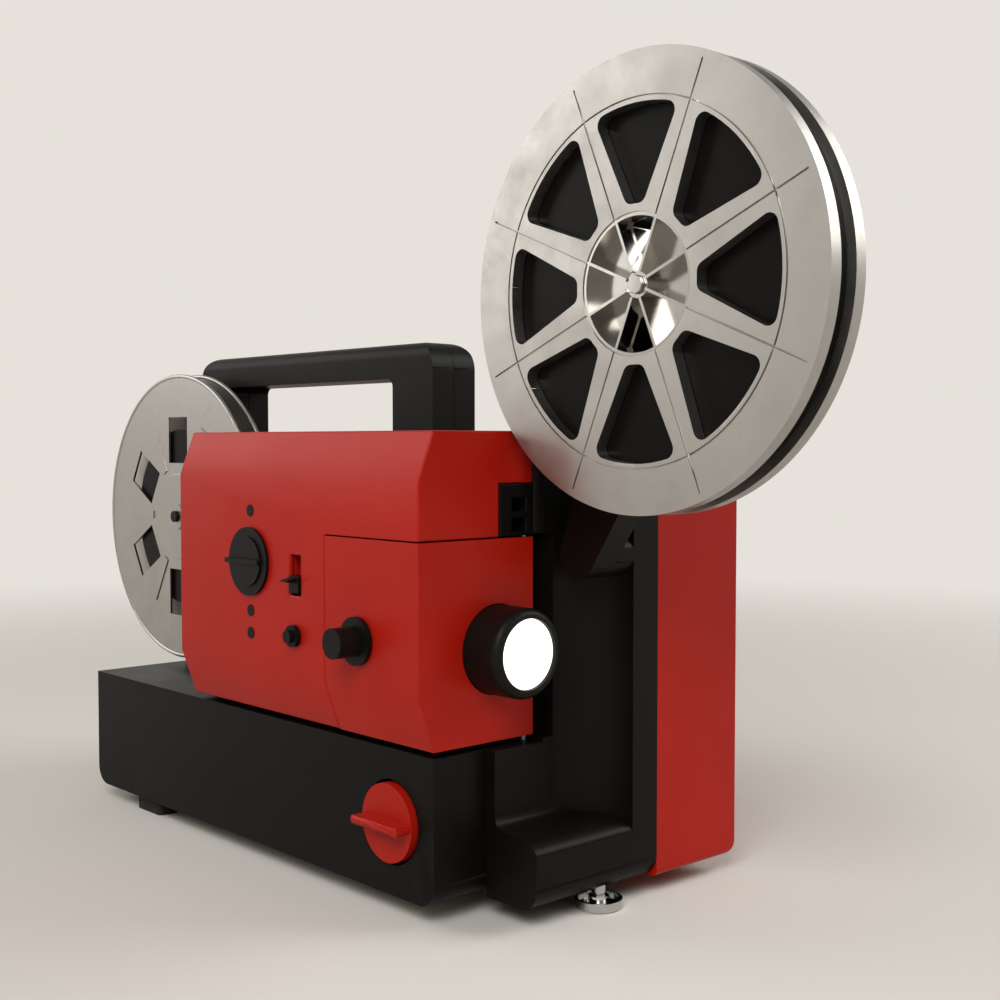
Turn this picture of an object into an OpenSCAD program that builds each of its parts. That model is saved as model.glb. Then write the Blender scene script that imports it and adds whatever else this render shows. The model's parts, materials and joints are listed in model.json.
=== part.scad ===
// Movie projector for 8 mm film: two reels, a red case on a black base, a lens door
// with a focusing lens, a carrying handle, and the drive and lamp inside.
// +X is the way the light is thrown, -Y is the operator's side, +Z is up.

/* [Body] */
// Length of the base along the light's throw
base_l = 300; // [280:1:330]
// Height of the base above its underside
base_h = 63.3; // [60:0.1:70]
// Depth of the base on the operator's side
base_d = 56.5; // [54:0.1:64]
// Height of the case above its underside
body_h = 198.5; // [196:0.1:215]
// Depth of the centre frame
frame_d = 45.8; // [42:0.1:60]
// Reach of the frame and the rear cover ahead of the base
nose_l = 31.7; // [30:0.1:36]
// Depth of the rear cover
rear_d = 56.2; // [50:0.1:80]
// Wall of the moulded covers
wall = 3; // [2.5:0.1:3.5]
// Wall of the cast centre frame
frame_wall = 4; // [3:0.1:5]
// Radius of the corners seen from the side
corner_r = 10; // [8:0.5:12]
// Radius of the rear cover's far edges above and below
edge_r = 9; // [6:0.5:12]
// Depth of the front block that stands ahead of the base
nose_block_d = 28.4; // [20:0.1:40]
// Height of the lip under the scooped recess
nose_lip_h = 30.5; // [27:0.5:34]
// Radius of the scooped recess's upright corner
scoop_r = 25; // [20:0.5:26]
// Width of the frame's front band beside the recess
band_w = 16; // [12:0.5:20]
// Thickness of the recess's back wall ahead of the base
scoop_back = 6; // [5:0.5:8]

/* [Mechanism cover] */
// Length of the red mechanism cover
cover_l = 191.2; // [185:0.1:198]
// Shadow gap between the base and the covers
cover_gap = 2.7; // [2:0.1:4]
// How far the cover's operator face stands proud of the base
cover_proud = 7.9; // [5:0.1:10]
// Height of the lower slope of the operator face
slope_low = 22.7; // [15:0.1:26]
// Height of the upper slope of the operator face
slope_high = 21; // [15:0.1:24]
// Length of the lens door
door_l = 65.7; // [62:0.1:72]
// Height of the lens door
door_h = 87.2; // [84:0.1:92]
// Split line round the lens door
door_split = 0.6; // [0.4:0.1:1]
// Diameter of the door's hinge pins
hinge_d = 3; // [2:0.1:3.2]

/* [Lens and lamp] */
// Distance of the optical axis from the base's operator face
lens_y = 35.2; // [34:0.1:37]
// Height of the optical axis above the base
lens_rise = 42.1; // [40:0.1:46]
// Diameter of the lens barrel
lens_d = 38.4; // [34:0.1:39]
// How far the lens stands out of the door
lens_out = 20.3; // [16:0.1:24]
// Length of the lens barrel
lens_l = 49; // [45:0.1:51]
// Diameter of the front glass
glass_d = 30; // [24:0.1:32]
// Thickness of the front glass
glass_t = 4; // [3:0.5:6]
// Diameter of the lamp's reflector
lamp_d = 40; // [35:0.5:42]
// Depth of the lamp's reflector
lamp_l = 32; // [28:0.5:34]
// Distance of the lamp's rim behind the front face
lamp_back = 118; // [114:0.5:122]
// Width of the picture opening in the gate
aperture_w = 5.8; // [5:0.1:6]
// Height of the picture opening in the gate
aperture_h = 4.2; // [3.8:0.1:4.4]

/* [Film guide] */
// Width of the film guide
guide_w = 19.8; // [18:0.1:21]
// Height of the film guide
guide_h = 22.3; // [21:0.1:26]
// Length of the film guide
guide_l = 14; // [10:0.5:18]
// Width of a film slot
slot_w = 8.2; // [8.2:0.1:9]
// Height of a film slot
slot_h = 6; // [4.5:0.1:6.5]

/* [Controls] */
// Diameter of the selector dial
dial_d = 32.3; // [26:0.1:36]
// Thickness of the selector dial
dial_t = 1.5; // [1:0.1:3]
// Reach of the selector's lever from the dial's middle
dial_lever = 16.6; // [14:0.1:20]
// Distance of the selector behind the front face
dial_back = 125.5; // [122:0.1:132]
// Height of the selector above the cover's underside
dial_rise = 71.6; // [66:0.1:76]
// Diameter of the plugs in the panel
stud_d = 5.6; // [4:0.1:7]
// Distance of the slide switch and framing knob behind the front face
switch_back = 88.5; // [86:0.1:96]
// Travel of the slide switch
switch_travel = 9; // [5:0.1:10]
// Width of the slide switch's slot
switch_w = 8.5; // [6:0.1:10]
// Height of the slide switch's button
switch_h = 7.6; // [6:0.1:9]
// Diameter of the framing knob's base
framing_d = 10; // [8:0.1:12]
// Diameter of the focus knob
focus_d = 13.2; // [10:0.1:16]
// Diameter of the focus knob's flange
focus_flange_d = 21; // [17:0.1:24]
// How far the focus knob stands out
focus_out = 14; // [10:0.1:18]
// Distance of the focus knob behind the front face
focus_back = 41; // [38:0.1:42]
// Diameter of the red main switch knob
main_knob_d = 34; // [28:0.1:36]
// How far the main switch's grip stands out
main_grip_out = 7; // [5:0.5:12]
// Height of the main switch's grip
main_grip_h = 3.6; // [3:0.1:6]
// Distance of the main switch behind the front face
main_knob_back = 28.6; // [26:0.1:32]

/* [Reels] */
// Radius of the supply reel
supply_r = 89; // [80:0.5:92]
// Distance of the supply reel's axis ahead of the base
supply_ahead = 75.2; // [74:0.1:90]
// Height of the supply reel's axis above the case
supply_rise = 55.7; // [54:0.1:70]
// Thickness of one supply reel flange
supply_flange_t = 5.8; // [4:0.1:6]
// Gap between the supply reel's flanges
supply_gap = 9.1; // [8.8:0.1:9.6]
// Distance of the supply reel's near face from the base's operator face
supply_y = 38; // [37:0.1:39]
// Radius of the supply reel's hub
supply_hub_r = 27.7; // [24:0.1:30]
// Radius of the film on the supply reel
supply_film_r = 85; // [40:0.5:86]
// Number of windows in a supply flange
supply_windows = 8; // [6:2:8]
// Radius of the take-up reel
takeup_r = 81.8; // [70:0.1:84]
// Distance of the take-up reel's axis ahead of the base's rear
takeup_ahead = 18.3; // [17.5:0.1:19]
// Height of the take-up reel's axis above the base
takeup_rise = 87.4; // [86.5:0.1:95]
// Overall thickness of the take-up reel
takeup_t = 12.6; // [11.6:0.1:13]
// Thickness of a take-up flange
takeup_flange_t = 1.3; // [1:0.1:1.6]
// Radius of the film on the take-up reel
takeup_film_r = 50; // [28:0.5:68]
// Radius of the take-up reel's hub
takeup_hub_r = 24.8; // [20:0.1:27]
// Number of slots in a take-up flange
takeup_slots = 6; // [4:1:6]
// Diameter of both reel spindles
spindle_d = 6.4; // [5:0.1:7]
// Thickness of the supply arm
arm_t = 14; // [10:0.5:14]
// Radius of the supply arm's head
arm_head_r = 25; // [18:0.5:28]
// Radius of the supply arm's foot
arm_foot_r = 10; // [8:0.5:11]

/* [Handle] */
// Length of the handle
handle_l = 215; // [190:1:218]
// Thickness of the handle across both halves
handle_t = 27; // [22:0.5:30]
// Height of the handle above the case
handle_h = 43.9; // [38:0.1:60]
// Height of the grip
grip_h = 17.4; // [14:0.1:22]
// Length of the front leg
front_leg = 31.3; // [24:0.1:40]
// Length of the rear leg
rear_leg = 29.6; // [24:0.1:40]
// Radius of the handle's upper corners
handle_r = 14; // [8:0.5:14]

/* [Feet] */
// Height of the feet
foot_h = 8.5; // [7:0.5:14]
// Diameter of the levelling foot
foot_d = 21; // [16:0.5:24]
// Diameter of the levelling foot's screw
foot_screw_d = 6; // [5:0.5:7]

/* [Drive] */
// Tooth module of the gears
gear_m = 1; // [0.9:0.05:1]
// Teeth on the main shaft's pinion
pinion_teeth = 16; // [14:1:16]
// Teeth on the idler gear
idler_teeth = 56; // [48:4:56]
// Teeth on the sprocket's gear
sprocket_teeth = 36; // [32:4:36]
// Diameter of the shafts
shaft_d = 6; // [5:0.1:7]
// Radius of the main shaft's pulley
main_pulley_r = 20; // [16:0.5:20]
// Radius of the motor's pulley
motor_pulley_r = 8; // [6:0.5:10]
// Diameter of the motor
motor_d = 46; // [38:1:50]
// Length of the motor
motor_l = 50; // [40:1:52]
// Radius of the cooling fan
fan_r = 26; // [20:0.5:30]
// Blades on the cooling fan
fan_blades = 9; // [6:1:12]
// Radius of the shutter drum
shutter_r = 20; // [17:0.5:20]
// Travel of the film claw
claw_travel = 4.2; // [3.8:0.1:4.4]

/* [Hidden] */
$fn = 64;

red = "#a5160e";
black = "#171514";
steel = "#a9a6a1";
bright = "#c8c2b8";
brass = "#b08d4a";
film = "#0d0c0c";
glass = "#f4f2ec";
copper = "#9a5a2c";

// Fits: a turning or sliding fit, a seam between fixed pieces, and a clear space round what moves
running = 0.05;
seam = 0.3;
clear = 0.4;
// A cut reaches this far past the surface that it opens
over = 1;

// Faces of the case
x_rear = -base_l;
y_frame = base_d;
y_rear = base_d + frame_d;
y_far = y_rear + rear_d;
z_bot = foot_h;
z_base = foot_h + base_h;
z_top = foot_h + body_h;
z_cover = z_base + cover_gap;
z_door = z_cover + door_h;
y_cover = -cover_proud;
y_panel = y_cover + wall;
lens_z = z_base + lens_rise;
lens_r = lens_d / 2;

// Reel axes and the middle of the whole part in plan
supply_x = supply_ahead;
supply_z = z_top + supply_rise;
takeup_x = x_rear + takeup_ahead;
takeup_z = z_base + takeup_rise;
supply_far = supply_y + 2 * supply_flange_t + supply_gap;
film_y = supply_y + supply_flange_t + supply_gap / 2;
takeup_y = film_y - takeup_t / 2;
takeup_far = takeup_y + takeup_t;
y_front = y_cover - focus_out;
mid_x = (supply_x + supply_r + takeup_x - takeup_r) / 2;
mid_y = (y_front + y_far) / 2;

// The film guide sits on the frame just above the door, and its slots share the film's middle plane
guide_z = z_door + seam;
guide_y = y_frame - guide_w;
slot_low = 1.6;
slot_between = 2.6;

// Door hinge, on a vertical axis in the front far corner of the door
hinge_x = -4;
hinge_y = y_frame - 2.3;
knuckle_r = hinge_d / 2 + 1.5;
knuckle_h = 11;
hinge_relief = 6;
relief_back = 7;
hinge_boss = [5, 6];
pin_floor = 2;
pin_end = 1;
pin_up = 16;
door_return = 11;

// Chassis plate, fixed to the inner face of the frame's near wall
plate_t = 2;
plate_y = y_frame + wall;
plate_back = plate_y + plate_t;
plate_lo = [-186, z_cover + 6];
plate_hi = [-12, z_top - 7];
plate_corner = 6;
window_in = 7;
// Where the thick nose of the frame begins
nose_x = -10;

// Shafts: the main shaft crosses the light, the sprocket lies above the door
gear_t = 7;
belt_w = 4;
pulley_t = 5;
pulley_y = plate_back + 4;
belt_y = pulley_y + pulley_t / 2;
gear_y = pulley_y + pulley_t + 2;
bridge_y = gear_y + gear_t + 5;
bridge_t = 3;
shaft_end = bridge_y + bridge_t + 3;
main_x = -70;
main_z = lens_z;
sprocket_x = -50;
sprocket_z = z_door + 14.6;
sprocket_r = 12;
pinion_to_idler = gear_m * (pinion_teeth + idler_teeth) / 2;
idler_to_sprocket = gear_m * (idler_teeth + sprocket_teeth) / 2;
shaft_gap = norm([sprocket_x - main_x, sprocket_z - main_z]);
shaft_dir = [sprocket_x - main_x, sprocket_z - main_z] / shaft_gap;
idler_along = (pow(pinion_to_idler, 2) - pow(idler_to_sprocket, 2) + pow(shaft_gap, 2)) / (2 * shaft_gap);
idler_off = sqrt(pow(pinion_to_idler, 2) - pow(idler_along, 2));
idler_x = main_x + idler_along * shaft_dir[0] - idler_off * shaft_dir[1];
idler_z = main_z + idler_along * shaft_dir[1] + idler_off * shaft_dir[0];
idler_pulley_r = 10;
bush_wall = 2;
bush_t = 6;
bush_y = plate_y - (bush_t - plate_t) / 2;
shafts = [[main_x, main_z], [idler_x, idler_z], [sprocket_x, sprocket_z]];

// Tooth phases, so that a tooth of one gear meets a gap of the next
line_main = atan2(idler_z - main_z, idler_x - main_x);
line_sprocket = atan2(sprocket_z - idler_z, sprocket_x - idler_x);
pinion_phase = line_main;
idler_phase = line_main + 180 + 180 / idler_teeth;
sprocket_phase = line_sprocket + 180 - (idler_phase - line_sprocket) * idler_teeth / sprocket_teeth
    + 180 / sprocket_teeth;

// Take-up drive
takeup_pulley_r = 12;
takeup_flange_d = 24;

// Motor, on the frame's floor, with its fan in the rear cover
motor_x = -150;
motor_z = z_bot + frame_wall + 42.5;
motor_shaft_d = 5;
motor_y = gear_y + 4;
motor_end = motor_y + motor_l;
fan_t = 14;
fan_y = motor_end + 4;
belt_t = 1.5;

// Gate, claw and pressure plate
gate_x = -38;
gate_t = 2;
gate_h = 50;
gate_near = 13;
gate_rail = [1.5, 18];
plate_gap = 0.3;
plate_strip = 1.2;
plate_span = [9, 14, 20];
runner_w = 3;
claw_t = 1.5;
claw_w = 14;
claw_h = 28;
claw_y = lens_y + 5;
claw_z = lens_z - claw_h / 2 - 3;
claw_tip = [3.3, 8];
claw_tip_w = 1.8;
claw_tip_h = 2;

// Focus drive: a pinion under the knob meets a rack on the barrel
focus_x = -focus_back;
focus_rise = 3.4;
focus_z = lens_z + focus_rise;
focus_m = 0.8;
focus_teeth = 10;
focus_pitch_r = focus_m * focus_teeth / 2;
focus_shaft_d = 4;
rack_w = 4;
rack_y = lens_y - lens_r - 5;
rack_z = focus_z - focus_pitch_r;
barrel_back = lens_out - lens_l;
rack_back = 12;
rack_front = barrel_back + 20;
rack_bar = 4;
rack_rows = [-4:3];
sleeve_back = 26;
sleeve_wall = 1.8;
collar_wall = 6;
collar_t = 3;
barrel_step = 6;
rear_glass_in = 3;
rear_glass_t = 4.8;
glass_seat = lens_out - glass_t - over;
glass_crown = 0.6;
lens_round = 3.4;
round_steps = 6;
glass_steps = 6;
focus_flange_t = 2;

// Supply arm, in the recess beside the reel
arm_y = supply_far + 2.3;
arm_far = arm_y + arm_t;
arm_foot = [22, z_top - 53.4];
arm_skin = 5;
arm_bolt_r = 4;
arm_bolt_head_r = 6;
arm_bolt_head_t = 5;
reel_room = 3;
scoop_y = y_rear - band_w;
scoop_z = z_bot + nose_lip_h;
scoop_floor_r = 5;
lip_roll_l = 20;
lip_roll_h = 7;
lip_steps = 12;

// Rear cover: radius of its upright edges, of its corners seen from the side, and the least inside
upright_r = 1.5;
cover_corner_r = 3;
inner_r = 0.5;

// Screws
screw_d = 3.5;
screw_head_d = 7;
screw_head_t = 2.2;
boss_r = 8;
rear_screw_in = 12;
plate_screw_in = 15;
base_plate_t = 2;
base_head_t = 1.1;
base_screw_l = 18;
screw_grip = 12;
rear_boss_l = 20;
rear_boss_r = 5;
handle_skin = 4;
finger_r = 4;
grip_round = 7;
handle_y = y_frame + (frame_d - handle_t) / 2;
handle_x = x_rear + 5;
handle_mid = handle_y + handle_t / 2;
handle_far_y = handle_y + handle_t;
z_grip = z_top + handle_h;

// Main switch in the base
main_knob_z = z_bot + base_h / 2;
main_knob_t = 2.6;
main_knob_gap = 1.4;
main_shaft_l = 14;
main_body = [22, 22, 14];

// Controls on the panel
dial_z = z_cover + dial_rise;
dial_shaft_r = 2.5;
dial_face = y_cover - clear - dial_t;
dial_boss_r = dial_d * 0.365;
dial_boss_t = 1;
dial_lever_t = 2.4;
dial_lever_out = 2.2;
rotary_r = 13;
rotary_rim = [15, 4, 6];
rotary_t = 12;
stud_rises = [23.9, -23.3, -33.9];
stud_proud = 0.3;
switch_z = z_cover + 58.2;
switch_low = 1.4;
switch_slot_h = switch_low + switch_h + switch_travel + clear;
switch_floor = 3;
switch_lever_out = 6.6;
switch_lever_w = 5.2;
switch_lever_t = 1.6;
switch_wall = 4;
switch_body_t = 9;
framing_z = z_cover + 40;
framing_shaft_r = 1.5;
framing_tip_r = framing_d * 0.295;
framing_out = 5;
framing_base_t = 2.2;
framing_nut = [4, 6];

// Vents in the rear cover: the middle of the lowest slot and the number of slots in each row
vent_l = 64;
vent_h = 3;
vent_pitch = 8;
vents = [[motor_x, motor_z - 24, 7], [-lamp_back - 30, z_top - 80, 8]];

// Reels: grooves pressed in the flanges, and the supply reel's finned hub
groove = 0.8;
groove_ring_r = supply_r * 0.802;
groove_end_r = supply_r * 0.966;
window_r = supply_r * 0.775;
window_apex = supply_r * 0.244;
window_step = 360 / supply_windows;
window_half = 0.58 * window_step;
window_round = 4;
hub_floor = supply_y + 8;
hub_core_r = supply_hub_r + 2.3;
hub_wall = 1.5;
hub_boss_r = spindle_d / 2 + 2;
fin_t = 1.2;
fin_top = supply_y + 0.5;
slot_tip_r = 12;
slot_round = 1.8;
slot_apex = (fin_t / 2 + 0.6) / sin(window_step / 2);
hub_openings = [for (k = [0, 180]) floor(supply_windows / 4) * window_step + k];
film_near = supply_y + supply_flange_t + seam;
film_far = supply_far - supply_flange_t - seam;
spindle_cap_t = 1.6;
spindle_cap_r = spindle_d / 2 + 0.6;
spindle_collar_r = 11;
rim_r = 1.2;
rib_w = 4.6;
rib_t = 1.2;
takeup_slot_w = 21;
takeup_slot_r = takeup_r * 0.7;
takeup_boss_r = 7.5;
takeup_lip = 0.8;
takeup_film_near = takeup_y + takeup_flange_t + takeup_lip;
takeup_film_far = takeup_far - takeup_flange_t - takeup_lip;
spindle_tip = 3.4;

// Bridge that carries the shafts' far ends
bridge_legs = [[-122, lens_z - 9], [-122, z_top - 25], [-26, lens_z - 9], [-26, z_top - 25]];
bridge_edge = 6;
bridge_leg_r = 4;

// Shutter drum and sprocket
shutter_y = lens_y - 14;
shutter_end = y_frame - 0.5;
shutter_wall = 1.2;
shutter_web = 3;
shutter_port = [4, 6, 11];
sprocket_tooth_count = 12;
sprocket_w = 9;
sprocket_rim_w = 1.5;
sprocket_tooth = [3, 1, 1];

// Motor and fan
motor_boss_r = 9;
motor_boss_l = [3, 2];
motor_cradle = 16;
fan_hub_r = 8;
fan_disc_t = 1.6;
fan_blade = [8.5, 1.2];

// Lamp
lamp_neck_r = 6;
lamp_pin_l = 6;
lamp_glass_t = 2;
lamp_bulb_r = 3.5;
lamp_bulb_l = 12;
lamp_steps = 6;
socket_lo = [24, 11, 10];
socket_hi = 1;
socket_foot = [20, 8, 14];

// Transformer
core_lo = [x_rear + 60, 11, z_bot + base_plate_t];
core_size = [64, y_frame - 22, 46];
core_leg = 12;
core_mid = 8;
coil_proud = 5;

// Feet and cord gland
foot_bush_wall = 2.5;
foot_bush_lift = 4.2;
cup_floor = 1.6;
cup_wall = 1.4;
cup_chamfer = 0.8;
cup_top = foot_h - 4.2;
cup_boss = [2, 1.4, 1];
pad_size = [26, 12];
pad_r = 3;
gland_r = 6;
gland_flange_r = 9;
gland_flange_t = 2.4;
gland_l = 10;
gland_nut_t = 4;
gland_bore_r = 3.6;

rear_screws = [
    [x_rear + frame_wall + boss_r, z_bot + frame_wall + boss_r],
    [x_rear + frame_wall + boss_r, z_top - frame_wall - boss_r],
    [nose_l - rear_screw_in, z_bot + rear_screw_in],
    [nose_l - rear_screw_in, z_top - rear_screw_in]
];
base_screws = [
    for (x = [x_rear + corner_r + plate_screw_in, -corner_r - 52])
        for (y = [wall + 8, y_frame - 9]) [x, y]
];
handle_screws = [
    [handle_x + rear_leg / 2, z_top + handle_h / 2],
    [handle_x + handle_l - front_leg / 2, z_top + handle_h / 2]
];
foot_pos = [24, y_frame + 16.5];
foot_bush_h = nose_lip_h - 12;
rear_foot_x = x_rear + 50;
rear_foot_y = [wall + 7, y_rear + 26];
gland_pos = [base_d / 2, z_bot + base_h / 2];

// Puts the part's origin under the middle of its box
module placed() translate([-mid_x, -mid_y, 0]) children();

// A box between two corners
module block(lo, hi) translate(lo) cube(hi - lo);

// Outlines drawn in X and Z, X and Y, or Y and Z, given a depth along the third axis
module along_y(y0, y1) translate([0, y1, 0]) rotate([90, 0, 0]) linear_extrude(y1 - y0) children();
module along_z(z0, z1) translate([0, 0, z0]) linear_extrude(z1 - z0) children();
module along_x(x0, x1) translate([x0, 0, 0]) rotate([90, 0, 90]) linear_extrude(x1 - x0) children();

// Round bars along each axis
module bar_y(x, z, y0, y1, r) translate([x, y0, z]) rotate([-90, 0, 0]) cylinder(h = y1 - y0, r = r);
module bar_x(y, z, x0, x1, r) translate([x0, y, z]) rotate([0, 90, 0]) cylinder(h = x1 - x0, r = r);
module bar_z(x, y, z0, z1, r) translate([x, y, z0]) cylinder(h = z1 - z0, r = r);

// A rectangle whose four corners are rounded
module rounded_rect(lo, hi, r) {
    translate(lo + [r, 0]) square([hi[0] - lo[0] - 2 * r, hi[1] - lo[1]]);
    translate(lo + [0, r]) square([hi[0] - lo[0], hi[1] - lo[1] - 2 * r]);
    for (x = [lo[0] + r, hi[0] - r], y = [lo[1] + r, hi[1] - r]) translate([x, y]) circle(r);
}

// A gear outline with straight-sided teeth, one of them pointing along phase
module gear_outline(teeth, m, phase) {
    root = m * (teeth / 2 - 1.25);
    tip = m * (teeth / 2 + 0.85);
    flank = [[-0.28, root], [-0.1, tip], [0.1, tip], [0.28, root]];
    polygon([
        for (i = [0:teeth - 1], f = flank)
            let (a = phase + (i + f[0]) * 360 / teeth) f[1] * [cos(a), sin(a)]
    ]);
}

// A wheel with a rounded belt groove, its axis along Y
module pulley(x, z, y0, r) difference() {
    bar_y(x, z, y0, y0 + pulley_t, r);
    translate([x, y0 + pulley_t / 2, z]) rotate([90, 0, 0])
        rotate_extrude() translate([r + 0.4, 0]) circle(d = belt_w - 1.4, $fn = 24);
}

// A loop round two pulleys
module belt(a, ra, b, rb, y_mid) along_y(y_mid - belt_t / 2, y_mid + belt_t / 2) difference() {
    hull() {
        translate(a) circle(ra + seam + belt_t, $fn = 48);
        translate(b) circle(rb + seam + belt_t, $fn = 48);
    }
    hull() {
        translate(a) circle(ra + seam, $fn = 48);
        translate(b) circle(rb + seam, $fn = 48);
    }
}

// Section of the red covers: an upright operator face with a slope above and below it
module cover_section(inset) {
    k = inset * cover_proud / slope_low / 2;
    polygon([
        [inset, z_cover + inset],
        [y_cover + inset, z_cover + slope_low + k],
        [y_cover + inset, z_top - slope_high - k],
        [inset, z_top - inset],
        [y_frame - (inset > 0 ? -over : seam), z_top - inset],
        [y_frame - (inset > 0 ? -over : seam), z_cover + inset]
    ]);
}

// Side outline of the base: square above, rounded below
module base_outline(inset) {
    r = corner_r - inset;
    translate([x_rear + inset, z_bot + corner_r])
        square([base_l - 2 * inset, base_h - corner_r - inset]);
    translate([x_rear + corner_r, z_bot + inset]) square([base_l - 2 * corner_r, corner_r]);
    for (x = [x_rear + corner_r, -corner_r]) translate([x, z_bot + corner_r]) circle(r);
}

// Scooped hollow of the front recess, open to the front, the top and the operator's side:
// its floor rises from a rolled lip, and turns up into the back wall
module scoop() {
    reach = 2 * base_d;
    high = z_top + reach;
    intersection() {
        along_z(z_bot, high) hull() {
            translate([scoop_back + scoop_r, scoop_y - scoop_r]) circle(scoop_r, $fn = 96);
            translate([scoop_back, -reach]) square([reach, reach]);
            translate([scoop_back + scoop_r, -reach]) square([reach - scoop_r, reach + scoop_y]);
        }
        along_y(-reach, y_rear) polygon([
            [scoop_back - over, high],
            [scoop_back - over, scoop_z + scoop_floor_r],
            for (i = [0:round_steps])
                let (a = 90 * i / round_steps)
                    [scoop_back + scoop_floor_r * (1 - cos(a)), scoop_z + scoop_floor_r * (1 - sin(a))],
            for (i = [0:lip_steps])
                let (a = 90 * i / lip_steps)
                    [nose_l - lip_roll_l * (1 - sin(a)), scoop_z - lip_roll_h * (1 - cos(a))],
            [nose_l + reach, scoop_z - lip_roll_h],
            [nose_l + reach, high]
        ]);
    }
}

// Case

module base_housing() color(black) placed() difference() {
    union() {
        difference() {
            along_y(0, y_frame - seam) base_outline(0);
            along_y(wall, y_frame) base_outline(wall);
            block([x_rear + corner_r, wall, z_bot - over], [-corner_r, y_frame, z_bot + wall + over]);
        }
        for (p = base_screws) bar_z(p[0], p[1], z_bot + base_plate_t, z_base - wall / 2, boss_r / 2);
        block(
            [hinge_x - hinge_boss[0], hinge_y - hinge_boss[1], z_base - knuckle_h],
            [-wall / 2, y_frame - seam, z_base - wall / 2]);
    }
    for (p = base_screws) bar_z(p[0], p[1], z_bot, z_bot + base_screw_l + over, screw_d / 2 + running);
    bar_z(hinge_x, hinge_y, z_base - knuckle_h + pin_floor, z_base + over, hinge_d / 2 + running);
    bar_y(-main_knob_back, main_knob_z, -over, wall + over, main_knob_d / 2 + main_knob_gap);
    bar_x(gland_pos[0], gland_pos[1], x_rear - over, x_rear + wall + over, gland_r + running);
}

module base_plate() color(steel) placed() difference() {
    block(
        [x_rear + corner_r + seam, wall + seam, z_bot],
        [-corner_r - seam, y_frame - seam, z_bot + base_plate_t]);
    for (p = base_screws) {
        bar_z(p[0], p[1], z_bot - over, z_bot + base_plate_t + over, screw_d / 2 + running);
        bar_z(p[0], p[1], z_bot - over, z_bot + base_head_t + seam, screw_head_d / 2 + seam);
    }
}

// Side outline of the centre frame, from the rear to the front of the nose
module frame_outline() rounded_rect([x_rear, z_bot], [nose_l, z_top], corner_r);

module center_frame() color(black) placed() difference() {
    union() {
        difference() {
            along_y(y_frame, y_rear) intersection() {
                frame_outline();
                translate([x_rear, z_bot]) square([nose_x - x_rear, body_h]);
            }
            block(
                [x_rear + frame_wall, plate_y, z_bot + frame_wall],
                [nose_x + over, y_rear + over, z_top - frame_wall]);
        }
        for (p = [rear_screws[0], rear_screws[1]]) bar_y(p[0], p[1], y_rear - rear_boss_l, y_rear, boss_r);
    }
    block(
        [plate_lo[0] + window_in, y_frame - over, plate_lo[1] + window_in],
        [plate_hi[0] - window_in, plate_y + over, plate_hi[1] - window_in]);
    block(
        [hinge_x - relief_back, y_frame - over, z_cover - over],
        [nose_x + over, y_frame + hinge_relief, z_door + over]);
    bar_y(takeup_x, takeup_z, y_frame - over, plate_y + over, spindle_d / 2 + bush_wall + running);
    for (p = rear_screws)
        bar_y(p[0], p[1], y_rear - screw_grip - over, y_rear + over, screw_d / 2 + running);
}

// The nose is the thick front of the frame, with the scooped recess and the levelling foot's seat
module front_nose() color(black) placed() difference() {
    union() {
        along_y(y_frame, y_rear) intersection() {
            frame_outline();
            translate([nose_x, z_bot]) square([nose_l - nose_x, body_h]);
        }
        along_y(nose_block_d, y_frame + over) intersection() {
            translate([seam, z_bot]) square([nose_l - seam, base_h]);
            rounded_rect([seam - 2 * corner_r, z_bot], [nose_l, z_top], corner_r);
        }
    }
    difference() {
        scoop();
        bar_y(arm_foot[0], arm_foot[1], arm_far, y_rear, arm_foot_r);
    }
    block(
        [nose_x - over, y_frame - over, z_cover - over],
        [scoop_back + over, y_frame + hinge_relief, z_door + over]);
    bar_y(supply_x, supply_z, y_frame - over, supply_far + reel_room - over, supply_r + reel_room);
    for (p = rear_screws)
        bar_y(p[0], p[1], y_rear - screw_grip - over, y_rear + over, screw_d / 2 + running);
    bar_y(arm_foot[0], arm_foot[1], arm_far - over, y_rear + over, arm_bolt_r + running);
    bar_z(foot_pos[0], foot_pos[1], z_bot - over, z_bot + foot_bush_h, foot_screw_d / 2 + clear);
    bar_z(
        foot_pos[0], foot_pos[1], z_bot + foot_bush_lift, z_bot + foot_bush_h,
        foot_screw_d / 2 + foot_bush_wall + running);
}

module chassis_plate() color(steel) placed() difference() {
    along_y(plate_y, plate_back) rounded_rect(plate_lo, plate_hi, plate_corner);
    for (p = shafts)
        bar_y(p[0], p[1], plate_y - over, plate_back + over, shaft_d / 2 + bush_wall + running);
}

module mechanism_cover() color(red) placed() difference() {
    along_x(-cover_l, 0) cover_section(0);
    along_x(-cover_l + wall, -wall) cover_section(wall);
    block([-door_l, y_cover - over, z_cover - over], [over, y_frame + over, z_door]);
    block(
        [-guide_l - seam, guide_y - seam, z_door - over],
        [over, y_frame + over, guide_z + guide_h + seam]);
    bar_y(-dial_back, dial_z, y_cover - over, y_panel + over, dial_shaft_r + running);
    for (dz = stud_rises)
        bar_y(-dial_back, dial_z + dz, y_cover - over, y_panel + over, stud_d / 2 + running);
    block(
        [-switch_back - switch_w / 2, y_cover - over, switch_z],
        [-switch_back + switch_w / 2, y_panel + over, switch_z + switch_slot_h]);
    bar_y(-switch_back, framing_z, y_cover - over, y_panel + over, framing_shaft_r + running);
}

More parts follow.
